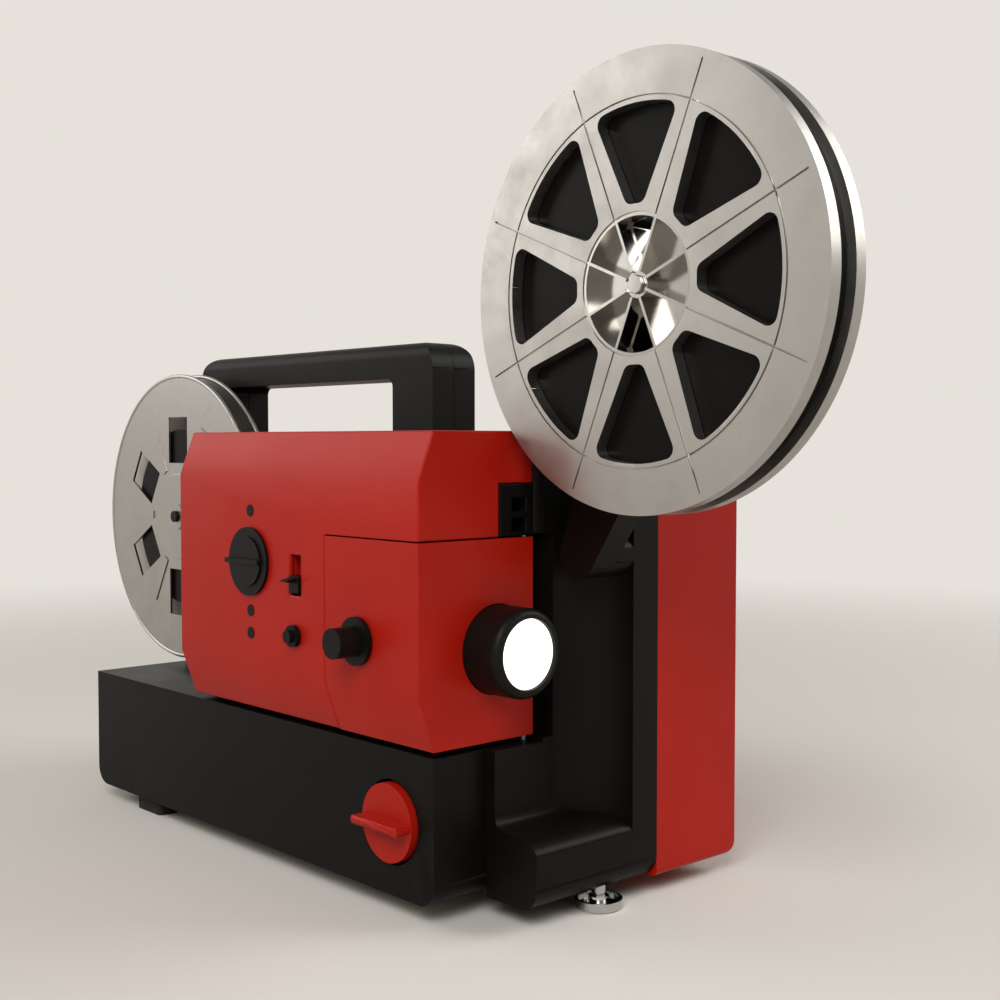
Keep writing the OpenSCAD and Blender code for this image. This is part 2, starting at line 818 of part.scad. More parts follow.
module lens_door() color(red) placed() difference() {
    union() {
        difference() {
            intersection() {
                along_x(-door_l + door_split, 0) cover_section(0);
                block([-door_l, y_cover - over, z_cover], [over, y_frame + over, z_door - door_split]);
            }
            intersection() {
                along_x(-door_l - over, -wall) cover_section(wall);
                block(
                    [-door_l - over, y_cover - over, z_cover + wall],
                    [over, y_frame + over, z_door - door_split - wall]);
            }
            block(
                [-door_l - over, door_return, z_cover - over],
                [hinge_x - knuckle_r, y_frame + over, z_door]);
        }
        for (z = [z_cover, z_door - door_split - knuckle_h])
            bar_z(hinge_x, hinge_y, z, z + knuckle_h, knuckle_r);
    }
    bar_z(hinge_x, hinge_y, z_cover - over, z_door + over, hinge_d / 2 + running);
    bar_x(lens_y, lens_z, -wall - over, over, lens_r + clear);
    bar_y(focus_x, focus_z, y_cover - over, y_panel + over, focus_shaft_d / 2 + running);
}

module door_hinge_pins() color(steel) placed() {
    bar_z(
        hinge_x, hinge_y, z_base - knuckle_h + pin_floor + seam, z_cover + knuckle_h - pin_end,
        hinge_d / 2);
    bar_z(hinge_x, hinge_y, z_door - door_split - knuckle_h + pin_end, guide_z + pin_up, hinge_d / 2);
}

// A box with rounded edges, its near side left square
module rear_shell(inset) {
    corner = max(cover_corner_r - inset, inner_r);
    upright = max(upright_r - inset, inner_r);
    lo = [x_rear + inset, y_rear + (inset > 0 ? -over : 0), z_bot + inset];
    hi = [nose_l - inset, y_far - inset, z_top - inset];
    deep = edge_r + over;
    intersection() {
        along_y(lo[1], hi[1]) rounded_rect([lo[0], lo[2]], [hi[0], hi[2]], corner);
        along_z(lo[2], hi[2]) intersection() {
            rounded_rect([lo[0], lo[1] - deep], [hi[0], hi[1]], upright);
            translate([lo[0], lo[1]]) square([hi[0] - lo[0], hi[1] - lo[1]]);
        }
        along_x(lo[0], hi[0]) intersection() {
            rounded_rect([lo[1] - deep, lo[2]], [hi[1], hi[2]], edge_r - inset);
            translate([lo[1], lo[2]]) square([hi[1] - lo[1], hi[2] - lo[2]]);
        }
    }
}

module vent() rounded_rect([-vent_l / 2, -vent_h / 2], [vent_l / 2, vent_h / 2], vent_h / 2 - running);

module rear_cover() color(red) placed() difference() {
    union() {
        difference() {
            rear_shell(0);
            rear_shell(wall);
        }
        for (p = rear_screws) bar_y(p[0], p[1], y_rear, y_far - wall / 2, rear_boss_r);
    }
    for (p = rear_screws) {
        bar_y(p[0], p[1], y_rear - over, y_far + over, screw_d / 2 + running);
        bar_y(p[0], p[1], y_far - screw_head_t - seam, y_far + over, screw_head_d / 2 + seam);
    }
    for (v = vents, i = [0:v[2] - 1])
        along_y(y_far - wall - over, y_far + over) translate([v[0], v[1] + i * vent_pitch]) vent();
}

// Side outline of the handle with its finger opening
module handle_outline() difference() {
    intersection() {
        rounded_rect([handle_x, z_top - 2 * handle_r], [handle_x + handle_l, z_grip], handle_r);
        translate([handle_x, z_top]) square([handle_l, handle_h]);
    }
    rounded_rect(
        [handle_x + rear_leg, z_top - 2 * handle_r],
        [handle_x + handle_l - front_leg, z_grip - grip_h],
        finger_r);
}

module handle_half(y0, y1) intersection() {
    along_y(y0, y1) handle_outline();
    along_x(handle_x - over, handle_x + handle_l + over)
        rounded_rect([handle_y, z_top - 2 * handle_r], [handle_y + handle_t, z_grip], grip_round);
}

module handle_near() color(black) placed() difference() {
    handle_half(handle_y, handle_mid - seam / 2);
    for (p = handle_screws) bar_y(p[0], p[1], handle_y + handle_skin, handle_mid, screw_d / 2 + running);
}

module handle_far() color(black) placed() difference() {
    handle_half(handle_mid + seam / 2, handle_far_y);
    for (p = handle_screws) {
        bar_y(p[0], p[1], handle_mid, handle_far_y + over, screw_d / 2 + running);
        bar_y(p[0], p[1], handle_far_y - screw_head_t - seam, handle_far_y + over, screw_head_d / 2 + seam);
    }
}

module screw_y(x, z, tip, head) {
    bar_y(x, z, tip, head - screw_head_t / 2, screw_d / 2);
    bar_y(x, z, head - screw_head_t, head, screw_head_d / 2);
}

module case_screws() color(steel) placed() {
    for (p = rear_screws) screw_y(p[0], p[1], y_rear - screw_grip, y_far - seam / 2);
    for (p = handle_screws) screw_y(p[0], p[1], handle_y + handle_skin + over, handle_far_y - seam / 2);
    for (p = base_screws) {
        bar_z(p[0], p[1], z_bot + base_head_t / 2, z_bot + base_screw_l, screw_d / 2);
        bar_z(p[0], p[1], z_bot + running, z_bot + base_head_t, screw_head_d / 2);
    }
}

// Feet and cord inlet

module rear_feet() color(black) placed()
    for (y = rear_foot_y)
        along_z(0, z_bot) translate([rear_foot_x, y]) rounded_rect(-pad_size / 2, pad_size / 2, pad_r);

module foot_bush() color(brass) placed() difference() {
    bar_z(
        foot_pos[0], foot_pos[1], z_bot + foot_bush_lift, z_bot + foot_bush_h - seam,
        foot_screw_d / 2 + foot_bush_wall);
    bar_z(foot_pos[0], foot_pos[1], z_bot - over, z_bot + foot_bush_h, foot_screw_d / 2 + running);
}

// A shallow chrome cup with a raised middle, turned in one piece with its screw
module levelling_foot() color(bright) placed() {
    r = foot_d / 2;
    boss = foot_screw_d / 2;
    translate([foot_pos[0], foot_pos[1], 0]) rotate_extrude() polygon([
        [0, 0],
        [r - cup_chamfer, 0],
        [r, cup_chamfer],
        [r, cup_top],
        [r - cup_wall, cup_top],
        [r - cup_wall - seam, cup_floor],
        [boss + cup_boss[0], cup_floor],
        [boss + cup_boss[1], cup_top + cup_boss[2]],
        [0, cup_top + cup_boss[2]]
    ]);
    bar_z(foot_pos[0], foot_pos[1], cup_top / 2, z_bot + foot_bush_h - over, foot_screw_d / 2);
}

module cord_gland() color(black) placed() difference() {
    union() {
        bar_x(gland_pos[0], gland_pos[1], x_rear - gland_flange_t / 2, x_rear + gland_l, gland_r);
        bar_x(gland_pos[0], gland_pos[1], x_rear - gland_flange_t, x_rear, gland_flange_r);
        along_x(x_rear + wall, x_rear + wall + gland_nut_t)
            translate(gland_pos) circle(gland_flange_r, $fn = 6);
    }
    bar_x(gland_pos[0], gland_pos[1], x_rear - 2 * wall, x_rear + 2 * gland_l, gland_bore_r);
}

// Film path and optics

module film_guide() color(black) placed() difference() {
    block([-guide_l, guide_y, guide_z], [0, y_frame, guide_z + guide_h]);
    for (k = [slot_low, slot_low + slot_h + slot_between])
        block(
            [-guide_l - over, film_y - slot_w / 2 - seam, guide_z + k],
            [over, film_y + slot_w / 2 - seam, guide_z + k + slot_h]);
    bar_z(hinge_x, hinge_y, guide_z - over, guide_z + pin_up + over, hinge_d / 2 + running);
}

module film_gate() color(steel) placed() difference() {
    union() {
        block(
            [gate_x, lens_y - gate_near, lens_z - gate_h / 2],
            [gate_x + gate_t, plate_y, lens_z + gate_h / 2]);
        for (y = [claw_y - gate_rail[0] - seam, claw_y + claw_w + seam])
            block(
                [gate_x - claw_t - over, y, lens_z - gate_rail[1]],
                [gate_x + gate_t / 2, y + gate_rail[0], lens_z + gate_rail[1]]);
    }
    block(
        [gate_x - over, lens_y - aperture_w / 2, lens_z - aperture_h / 2],
        [gate_x + gate_t + over, lens_y + aperture_w / 2, lens_z + aperture_h / 2]);
    block(
        [gate_x - over, claw_y + claw_tip[0] - seam, claw_z + claw_tip[1] - clear],
        [
            gate_x + gate_t + over,
            claw_y + claw_tip[0] + claw_tip_w + seam,
            claw_z + claw_tip[1] + claw_tip_h + claw_travel + clear
        ]);
}

module pressure_plate() color(bright) placed() difference() {
    x = gate_x + gate_t;
    near = lens_y - plate_span[0];
    far = lens_y + plate_span[1];
    union() {
        block(
            [x + plate_gap, near, lens_z - plate_span[2]],
            [x + plate_gap + plate_strip, far, lens_z + plate_span[2]]);
        for (y = [near, far - runner_w])
            block(
                [x, y, lens_z - plate_span[2]],
                [x + plate_gap + plate_strip / 2, y + runner_w, lens_z + plate_span[2]]);
    }
    block(
        [x - over, lens_y - aperture_w / 2 - over, lens_z - aperture_h / 2 - over],
        [
            x + plate_gap + plate_strip + over,
            lens_y + aperture_w / 2 + over,
            lens_z + aperture_h / 2 + over
        ]);
}

module claw_arm() color(steel) placed() {
    block([gate_x - claw_t - seam, claw_y, claw_z], [gate_x - seam, claw_y + claw_w, claw_z + claw_h]);
    block(
        [gate_x - claw_t / 2, claw_y + claw_tip[0], claw_z + claw_tip[1]],
        [gate_x + gate_t - seam, claw_y + claw_tip[0] + claw_tip_w, claw_z + claw_tip[1] + claw_tip_h]);
}

module lens_holder() color(black) placed() difference() {
    union() {
        bar_x(lens_y, lens_z, -sleeve_back, -wall, lens_r + sleeve_wall);
        intersection() {
            bar_x(lens_y, lens_z, -wall - collar_t, -wall, lens_r + collar_wall);
            block(
                [-wall - collar_t, 0, z_cover + wall + seam],
                [-wall, hinge_y - knuckle_r - seam, z_door - wall - over]);
        }
    }
    bar_x(lens_y, lens_z, -sleeve_back - over, 0, lens_r + running);
    block(
        [-sleeve_back - over, rack_y - wall, rack_z - rack_bar - clear - over],
        [0, rack_y + 2 * rack_w + over, rack_z + rack_w / 2]);
}

module lens_barrel() color(black) placed() difference() {
    union() {
        translate([barrel_back, lens_y, lens_z]) rotate([0, 90, 0]) rotate_extrude() polygon([
            [0, 0],
            [lens_r, 0],
            for (i = [0:round_steps])
                let (a = 90 * i / round_steps)
                    [lens_r - lens_round * (1 - cos(a)), lens_l - lens_round * (1 - sin(a))],
            [0, lens_l]
        ]);
        block(
            [focus_x - rack_back, rack_y, rack_z - rack_bar],
            [rack_front, rack_y + 2 * rack_w, rack_z - focus_m]);
        along_y(rack_y, rack_y + rack_w) rack_teeth();
    }
    bar_x(lens_y, lens_z, glass_seat, lens_out + over, glass_d / 2 + running);
    bar_x(
        lens_y, lens_z, barrel_back - over, barrel_back + rear_glass_t + running,
        glass_d / 2 - rear_glass_in + running);
    bar_x(lens_y, lens_z, barrel_back, lens_out, glass_d / 2 - barrel_step);
}

// Rack teeth with a gap under the pinion's middle, each given by its half width and height in modules
module rack_teeth() {
    pitch = PI * focus_m;
    tooth = [[-0.33, -1.3], [-0.12, 0.55], [0.12, 0.55], [0.33, -1.3]];
    for (i = rack_rows)
        polygon([for (f = tooth) [focus_x + (i + 0.5 + f[0]) * pitch, rack_z + f[1] * focus_m]]);
}

module lens_front_glass() color(glass) placed()
    translate([glass_seat + running, lens_y, lens_z]) rotate([0, 90, 0]) rotate_extrude()
        polygon([
            [0, 0],
            [glass_d / 2, 0],
            for (i = [glass_steps:-1:0])
                [glass_d / 2 * i / glass_steps, glass_t - glass_crown * pow(i / glass_steps, 2)]
        ]);

module lens_rear_glass() color(glass) placed()
    bar_x(lens_y, lens_z, barrel_back + clear, barrel_back + rear_glass_t, glass_d / 2 - rear_glass_in);

module focus_knob() color(black) placed() {
    bar_y(focus_x, focus_z, y_front, y_cover - focus_flange_t, focus_d / 2);
    bar_y(focus_x, focus_z, y_cover - clear - focus_flange_t, y_cover - clear, focus_flange_d / 2);
    bar_y(focus_x, focus_z, y_cover - over, rack_y + rack_w - seam, focus_shaft_d / 2);
    along_y(rack_y + seam, rack_y + rack_w - seam)
        translate([focus_x, focus_z]) gear_outline(focus_teeth, focus_m, 270);
}

// A reflector of even thickness round a small bulb, turned about the optical axis
module lamp() color(glass) placed() {
    bowl = lamp_d / 2 - lamp_neck_r;
    inner = lamp_neck_r - lamp_glass_t;
    translate([-lamp_back, lens_y, lens_z]) rotate([0, -90, 0]) rotate_extrude() polygon([
        [lamp_d / 2, 0],
        for (i = [1:lamp_steps]) let (t = i / lamp_steps) [lamp_neck_r + bowl * sqrt(1 - t), lamp_l * t],
        [lamp_neck_r, lamp_l + lamp_pin_l],
        [0, lamp_l + lamp_pin_l],
        [0, lamp_l - lamp_glass_t],
        for (i = [lamp_steps:-1:0])
            let (t = i / lamp_steps) [inner + bowl * sqrt(1 - t), (lamp_l - lamp_glass_t) * t]
    ]);
    translate([-lamp_back - lamp_l + over, lens_y, lens_z]) rotate([0, 90, 0])
        cylinder(h = lamp_bulb_l, r = lamp_bulb_r);
    translate([-lamp_back - lamp_l + over + lamp_bulb_l, lens_y, lens_z]) sphere(lamp_bulb_r);
}

module lamp_socket() color(bright) placed() difference() {
    x = -lamp_back - lamp_l;
    union() {
        block(
            [x - socket_lo[0], lens_y - socket_lo[1], lens_z - socket_lo[2]],
            [x - socket_hi, lens_y + socket_lo[1], lens_z + socket_lo[2]]);
        block(
            [x - socket_foot[0], lens_y + socket_lo[1] - over, lens_z - socket_foot[2]],
            [x - socket_foot[1], plate_y, lens_z + socket_foot[2]]);
    }
    bar_x(lens_y, lens_z, x - lamp_pin_l - over, x, lamp_neck_r + running);
}

// Controls

module selector_dial() color(black) placed() {
    bar_y(-dial_back, dial_z, dial_face, y_cover - clear, dial_d / 2);
    bar_y(-dial_back, dial_z, dial_face - dial_boss_t, dial_face + dial_t / 2, dial_boss_r);
    along_y(dial_face - dial_lever_out, dial_face + dial_t / 2) translate([-dial_back, dial_z])
        rounded_rect([-dial_lever, -dial_lever_t / 2], [dial_boss_r, dial_lever_t / 2], dial_lever_t / 3);
    bar_y(-dial_back, dial_z, y_cover - over, y_panel + rotary_t - wall, dial_shaft_r);
}

module selector_switch() color(black) placed() difference() {
    union() {
        bar_y(-dial_back, dial_z, y_panel, y_panel + rotary_t, rotary_r);
        bar_y(-dial_back, dial_z, y_panel + rotary_rim[1], y_panel + rotary_rim[2], rotary_rim[0]);
    }
    bar_y(-dial_back, dial_z, y_panel - over, y_panel + rotary_t - wall + over, dial_shaft_r + running);
}

// The button's lever tapers to its tip
module slide_switch_button() color(black) placed() {
    lo = switch_z + switch_low;
    block(
        [-switch_back - switch_w / 2 + clear, y_cover - over, lo],
        [-switch_back + switch_w / 2 - clear, y_panel + switch_floor, lo + switch_h]);
    along_x(-switch_back - switch_lever_w / 2, -switch_back + switch_lever_w / 2)
        polygon([
            [y_cover, lo + switch_h - switch_lever_t * 2],
            [y_cover, lo + switch_h - seam],
            [y_cover - switch_lever_out, lo + switch_h - switch_lever_t],
            [y_cover - switch_lever_out, lo + switch_h - switch_lever_t * 1.5]
        ]);
}

module slide_switch_body() color(red) placed() difference() {
    block(
        [-switch_back - switch_w / 2 - switch_wall, y_panel, switch_z - switch_wall],
        [
            -switch_back + switch_w / 2 + switch_wall,
            y_panel + switch_body_t,
            switch_z + switch_slot_h + switch_wall
        ]);
    block(
        [-switch_back - switch_w / 2, y_panel - over, switch_z],
        [-switch_back + switch_w / 2, y_panel + switch_floor + running, switch_z + switch_slot_h]);
}

module framing_knob() color(black) placed() {
    bar_y(-switch_back, framing_z, y_cover - clear - framing_base_t, y_cover - clear, framing_d / 2);
    bar_y(-switch_back, framing_z, y_cover - framing_out, y_cover - framing_base_t, framing_tip_r);
    bar_y(-switch_back, framing_z, y_cover - over, y_panel + switch_body_t, framing_shaft_r);
    bar_y(-switch_back, framing_z, y_panel + clear, y_panel + framing_nut[1], framing_nut[0]);
}

module panel_studs() color(black) placed()
    for (dz = stud_rises)
        bar_y(-dial_back, dial_z + dz, y_cover - stud_proud, y_panel + over, stud_d / 2);

module main_switch_knob() color(red) placed() {
    bar_y(-main_knob_back, main_knob_z, -main_knob_t, wall - clear, main_knob_d / 2);
    along_y(-main_knob_t - main_grip_out, -main_knob_t + over) translate([-main_knob_back, main_knob_z])
        rounded_rect(
            [-main_knob_d / 2 + over, -main_grip_h / 2],
            [main_knob_d / 2 - over, main_grip_h / 2],
            main_grip_h / 3);
    bar_y(-main_knob_back, main_knob_z, 0, wall + main_shaft_l, shaft_d / 2);
}

module main_switch_body() color(black) placed() difference() {
    block(
        [-main_knob_back - main_body[0], wall, main_knob_z - main_body[2]],
        [-main_knob_back + main_body[0], wall + main_body[1], main_knob_z + main_body[2]]);
    bar_y(-main_knob_back, main_knob_z, wall - over, wall + main_shaft_l + over, shaft_d / 2 + running);
}

// Reels

// A window between two spokes: a rounded sector
module supply_window() offset(r = window_round, $fn = 24) offset(delta = -window_round) intersection() {
    difference() {
        circle(window_r, $fn = 96);
        circle(supply_hub_r + wall, $fn = 96);
    }
    sector(window_apex, window_half);
}

// The space between two lines that leave a point on the X axis
module sector(apex, half) polygon([
    [apex, 0],
    [apex, 0] + supply_r * [cos(half), sin(half)],
    [apex, 0] + supply_r * [cos(half), -sin(half)]
]);

module supply_flange(y0, outer) difference() {
    bar_y(supply_x, supply_z, y0, y0 + supply_flange_t, supply_r, $fn = 128);
    bar_y(supply_x, supply_z, y0 - over, y0 + supply_flange_t + over, supply_hub_r);
    translate([supply_x, 0, supply_z]) {
        along_y(y0 - over, y0 + supply_flange_t + over)
            for (i = [0:supply_windows - 1]) rotate(i * window_step) supply_window();
        for (i = [0:supply_windows - 1])
            rotate([0, (i + 0.5) * window_step, 0])
                block(
                    [supply_hub_r - over, outer - groove, -groove / 2],
                    [groove_end_r, outer + groove, groove / 2]);
        along_y(outer - groove, outer + groove) difference() {
            circle(groove_ring_r, $fn = 96);
            circle(groove_ring_r - groove, $fn = 96);
        }
    }
}

module supply_reel_near() color(bright) placed() supply_flange(supply_y, supply_y);

module supply_reel_far() color(bright) placed() supply_flange(supply_far - supply_flange_t, supply_far);

// Thin radial fins in the hub's cup, in line with the spokes
module hub_fins() for (i = [0:supply_windows - 1])
    rotate([0, (i + 0.5) * window_step, 0])
        block([0, supply_y - 2 * over, -fin_t / 2], [supply_hub_r, hub_floor + over, fin_t / 2]);

// An opening in the hub's floor that fills the space between two fins
module hub_opening() offset(r = slot_round, $fn = 24) offset(delta = -slot_round) intersection() {
    difference() {
        circle(supply_hub_r - hub_wall);
        circle(slot_tip_r);
    }
    sector(slot_apex, window_step / 2);
}

module supply_hub() color(bright) placed() translate([supply_x, 0, supply_z]) difference() {
    union() {
        bar_y(0, 0, film_near, film_far, hub_core_r);
        bar_y(0, 0, fin_top, supply_far - over, supply_hub_r - running);
    }
    difference() {
        bar_y(0, 0, supply_y - over, hub_floor, supply_hub_r - hub_wall);
        bar_y(0, 0, supply_y - 2 * over, hub_floor + over, hub_boss_r);
        hub_fins();
    }
    for (a = hub_openings) along_y(hub_floor - over, supply_far + over) rotate(a) hub_opening();
    bar_y(0, 0, supply_y - over, supply_far + over, spindle_d / 2 + running);
    bar_y(0, 0, supply_y - over, supply_y + spindle_cap_t + running, hub_boss_r + running);
}

module supply_film() color(film) placed() difference() {
    bar_y(supply_x, supply_z, film_near, film_far, supply_film_r, $fn = 128);
    bar_y(supply_x, supply_z, film_near - over, film_far + over, hub_core_r + running);
}

module supply_spindle() color(steel) placed() {
    bar_y(supply_x, supply_z, supply_y + spindle_cap_t / 2, arm_far - wall, spindle_d / 2);
    bar_y(supply_x, supply_z, supply_far + seam, arm_y - clear, spindle_collar_r);
    along_y(supply_y, supply_y + spindle_cap_t)
        translate([supply_x, supply_z]) circle(spindle_cap_r, $fn = 8);
}

module supply_arm() color(black) placed() difference() {
    along_y(arm_y, arm_far) hull() {
        translate(arm_foot) circle(arm_foot_r, $fn = 48);
        translate([supply_x, supply_z]) circle(arm_head_r, $fn = 48);
    }
    bar_y(supply_x, supply_z, arm_y - over, arm_far + over, spindle_d / 2 + bush_wall + running);
    bar_y(arm_foot[0], arm_foot[1], arm_y + arm_skin, arm_far + over, arm_bolt_r + running);
}

// The arm's bolt goes in from the far side, with its head in the rear cover
module arm_bolt() color(steel) placed() {
    bar_y(arm_foot[0], arm_foot[1], arm_y + arm_skin + seam, y_rear + over, arm_bolt_r);
    bar_y(arm_foot[0], arm_foot[1], y_rear + running, y_rear + arm_bolt_head_t, arm_bolt_head_r);
}

// A thin pressed disc with a rolled rim, flat ribs, and a slot between each rib and the next
module takeup_flange(y0, rib_y) difference() {
    union() {
        bar_y(takeup_x, takeup_z, y0, y0 + takeup_flange_t, takeup_r - rim_r / 2, $fn = 128);
        translate([takeup_x, y0 + takeup_flange_t / 2, takeup_z]) rotate([90, 0, 0])
            rotate_extrude($fn = 128) translate([takeup_r - rim_r, 0]) circle(rim_r, $fn = 24);
        for (i = [0:takeup_slots - 1])
            translate([takeup_x, 0, takeup_z]) rotate([0, i * 360 / takeup_slots, 0])
                block(
                    [takeup_hub_r + frame_wall, rib_y, -rib_w / 2],
                    [takeup_slot_r, rib_y + rib_t, rib_w / 2]);
    }
    translate([takeup_x, 0, takeup_z]) for (i = [0:takeup_slots - 1])
        rotate([0, (i + 0.5) * 360 / takeup_slots, 0])
            block(
                [takeup_hub_r + 2 * wall, y0 - 2 * over, -takeup_slot_w / 2],
                [takeup_slot_r, y0 + takeup_flange_t + 2 * over, takeup_slot_w / 2]);
    bar_y(takeup_x, takeup_z, y0 - 2 * over, y0 + takeup_flange_t + 2 * over, takeup_hub_r);
}

module takeup_reel_near() color(bright) placed()
    takeup_flange(takeup_y, takeup_y + takeup_flange_t / 2 - rib_t);

module takeup_reel_far() color(bright) placed()
    takeup_flange(takeup_far - takeup_flange_t, takeup_far - takeup_flange_t / 2);

module takeup_hub() color(bright) placed() difference() {
    union() {
        bar_y(takeup_x, takeup_z, takeup_y - takeup_lip, takeup_far, takeup_hub_r - running);
        bar_y(takeup_x, takeup_z, takeup_film_near, takeup_film_far, takeup_hub_r + bush_wall);
        bar_y(takeup_x, takeup_z, takeup_y - 2 * takeup_lip, takeup_y, takeup_boss_r);
    }
    bar_y(takeup_x, takeup_z, takeup_y - wall, takeup_far + over, spindle_d / 2 + running);
}

module takeup_film() color(film) placed() difference() {
    bar_y(takeup_x, takeup_z, takeup_film_near, takeup_film_far, takeup_film_r);
    bar_y(takeup_x, takeup_z, takeup_y, takeup_far, takeup_hub_r + bush_wall + running);
}

module takeup_spindle() color(black) placed() {
    bar_y(takeup_x, takeup_z, takeup_y - spindle_tip, pulley_y + pulley_t + bridge_t, spindle_d / 2);
    bar_y(takeup_x, takeup_z, takeup_far + seam, y_frame - clear, takeup_flange_d / 2);
    pulley(takeup_x, takeup_z, pulley_y, takeup_pulley_r);
}

// Drive

module bush(x, z, y0, t, d) difference() {
    bar_y(x, z, y0, y0 + t, d / 2 + bush_wall);
    bar_y(x, z, y0 - over, y0 + t + over, d / 2 + running);
}

module bearing_bushes() color(brass) placed() {
    for (p = shafts) {
        bush(p[0], p[1], bush_y, bush_t, shaft_d);
        bush(p[0], p[1], bridge_y - over, bridge_t + 2 * over, shaft_d);
    }
    bush(takeup_x, takeup_z, y_frame, bush_t, spindle_d);
    bush(supply_x, supply_z, arm_y, arm_t, spindle_d);
}

module bearing_bridge() color(steel) placed() difference() {
    edge = [bridge_edge, bridge_edge];
    union() {
        along_y(bridge_y, bridge_y + bridge_t)
            rounded_rect(bridge_legs[0] - edge, bridge_legs[3] + edge, bridge_edge - over);
        for (p = bridge_legs) bar_y(p[0], p[1], plate_back, bridge_y + over, bridge_leg_r);
    }
    for (p = shafts)
        bar_y(p[0], p[1], bridge_y - over, bridge_y + bridge_t + over, shaft_d / 2 + bush_wall + running);
}

module main_shaft() color(steel) placed() {
    bar_y(main_x, main_z, shutter_y, shaft_end, shaft_d / 2);
    pulley(main_x, main_z, pulley_y, main_pulley_r);
    along_y(gear_y, gear_y + gear_t)
        translate([main_x, main_z]) gear_outline(pinion_teeth, gear_m, pinion_phase);
}

module shutter_drum() color(black) placed() difference() {
    bar_y(main_x, main_z, shutter_y + over, shutter_end, shutter_r);
    bar_y(main_x, main_z, shutter_y - over, shutter_end - shutter_web, shutter_r - shutter_wall);
    bar_y(main_x, main_z, shutter_y, shutter_end + over, shaft_d / 2 + running);
    along_x(main_x - shutter_r - over, main_x + shutter_r + over)
        rounded_rect(
            [shutter_y + shutter_port[0], main_z - shutter_port[2]],
            [shutter_end - shutter_port[1], main_z + shutter_port[2]],
            shutter_web);
}

module idler_gear() color(brass) placed() {
    bar_y(idler_x, idler_z, bush_y - over, shaft_end, shaft_d / 2);
    pulley(idler_x, idler_z, pulley_y, idler_pulley_r);
    along_y(gear_y, gear_y + gear_t)
        translate([idler_x, idler_z]) gear_outline(idler_teeth, gear_m, idler_phase);
}

module sprocket() color(steel) placed() {
    near = film_y - sprocket_w / 2;
    bar_y(sprocket_x, sprocket_z, near - 2 * over, shaft_end, shaft_d / 2);
    bar_y(sprocket_x, sprocket_z, near, near + sprocket_w, sprocket_r - over);
    for (y = [near, near + sprocket_w - sprocket_rim_w])
        bar_y(sprocket_x, sprocket_z, y, y + sprocket_rim_w, sprocket_r);
    for (i = [0:sprocket_tooth_count - 1])
        translate([sprocket_x, near + sprocket_rim_w / 2, sprocket_z])
            rotate([0, i * 360 / sprocket_tooth_count, 0])
                translate([sprocket_r - 2 * over, 0, -sprocket_tooth[2] / 2]) cube(sprocket_tooth);
    along_y(gear_y, gear_y + gear_t)
        translate([sprocket_x, sprocket_z]) gear_outline(sprocket_teeth, gear_m, sprocket_phase);
}

module motor() color(steel) placed() difference() {
    union() {
        bar_y(motor_x, motor_z, motor_y, motor_end, motor_d / 2);
        bar_y(motor_x, motor_z, motor_y - motor_boss_l[0], motor_end + motor_boss_l[1], motor_boss_r);
        block(
            [motor_x - motor_cradle, motor_y + bush_wall, z_bot + frame_wall],
            [motor_x + motor_cradle, y_rear - bush_wall, motor_z]);
    }
    bar_y(motor_x, motor_z, motor_y - bush_t, motor_end + bush_t, motor_shaft_d / 2 + running);
}

module motor_rotor() color(steel) placed() {
    bar_y(motor_x, motor_z, pulley_y - 2 * over, fan_y + fan_t + 2 * over, motor_shaft_d / 2);
    pulley(motor_x, motor_z, pulley_y, motor_pulley_r);
}

module fan_wheel() color(black) placed() difference() {
    union() {
        bar_y(motor_x, motor_z, fan_y, fan_y + fan_t, fan_hub_r);
        bar_y(motor_x, motor_z, fan_y, fan_y + fan_disc_t, fan_r);
        for (i = [0:fan_blades - 1])
            translate([motor_x, fan_y, motor_z]) rotate([0, i * 360 / fan_blades, 0])
                translate([fan_r - fan_blade[0] - clear, 0, -fan_blade[1] / 2])
                    cube([fan_blade[0], fan_t, fan_blade[1]]);
    }
    bar_y(motor_x, motor_z, fan_y - over, fan_y + fan_t + over, motor_shaft_d / 2 + running);
}

module drive_belt() color(film) placed()
    belt([main_x, main_z], main_pulley_r, [motor_x, motor_z], motor_pulley_r, belt_y);

module takeup_belt() color(film) placed()
    belt([idler_x, idler_z], idler_pulley_r, [takeup_x, takeup_z], takeup_pulley_r, belt_y);

// Transformer, on the base plate, with its coil wound round the core's middle leg

module transformer_core() color(steel) placed() difference() {
    window = (core_size[0] - core_mid * 2) / 2 - core_leg;
    block(core_lo, core_lo + core_size);
    for (x = [core_leg, core_size[0] / 2 + core_mid])
        block(
            core_lo + [x, -over, core_leg],
            core_lo + [x + window, core_size[1] + over, core_size[2] - core_leg]);
}

module transformer_coil() color(copper) placed() difference() {
    block(
        core_lo + [core_leg + seam, -coil_proud, core_leg + seam],
        core_lo + core_size + [-core_leg - seam, coil_proud, -core_leg - seam]);
    block(
        core_lo + [core_size[0] / 2 - core_mid - seam, -seam, core_leg - over],
        core_lo + core_size + [core_mid + seam - core_size[0] / 2, seam, over - core_leg]);
}

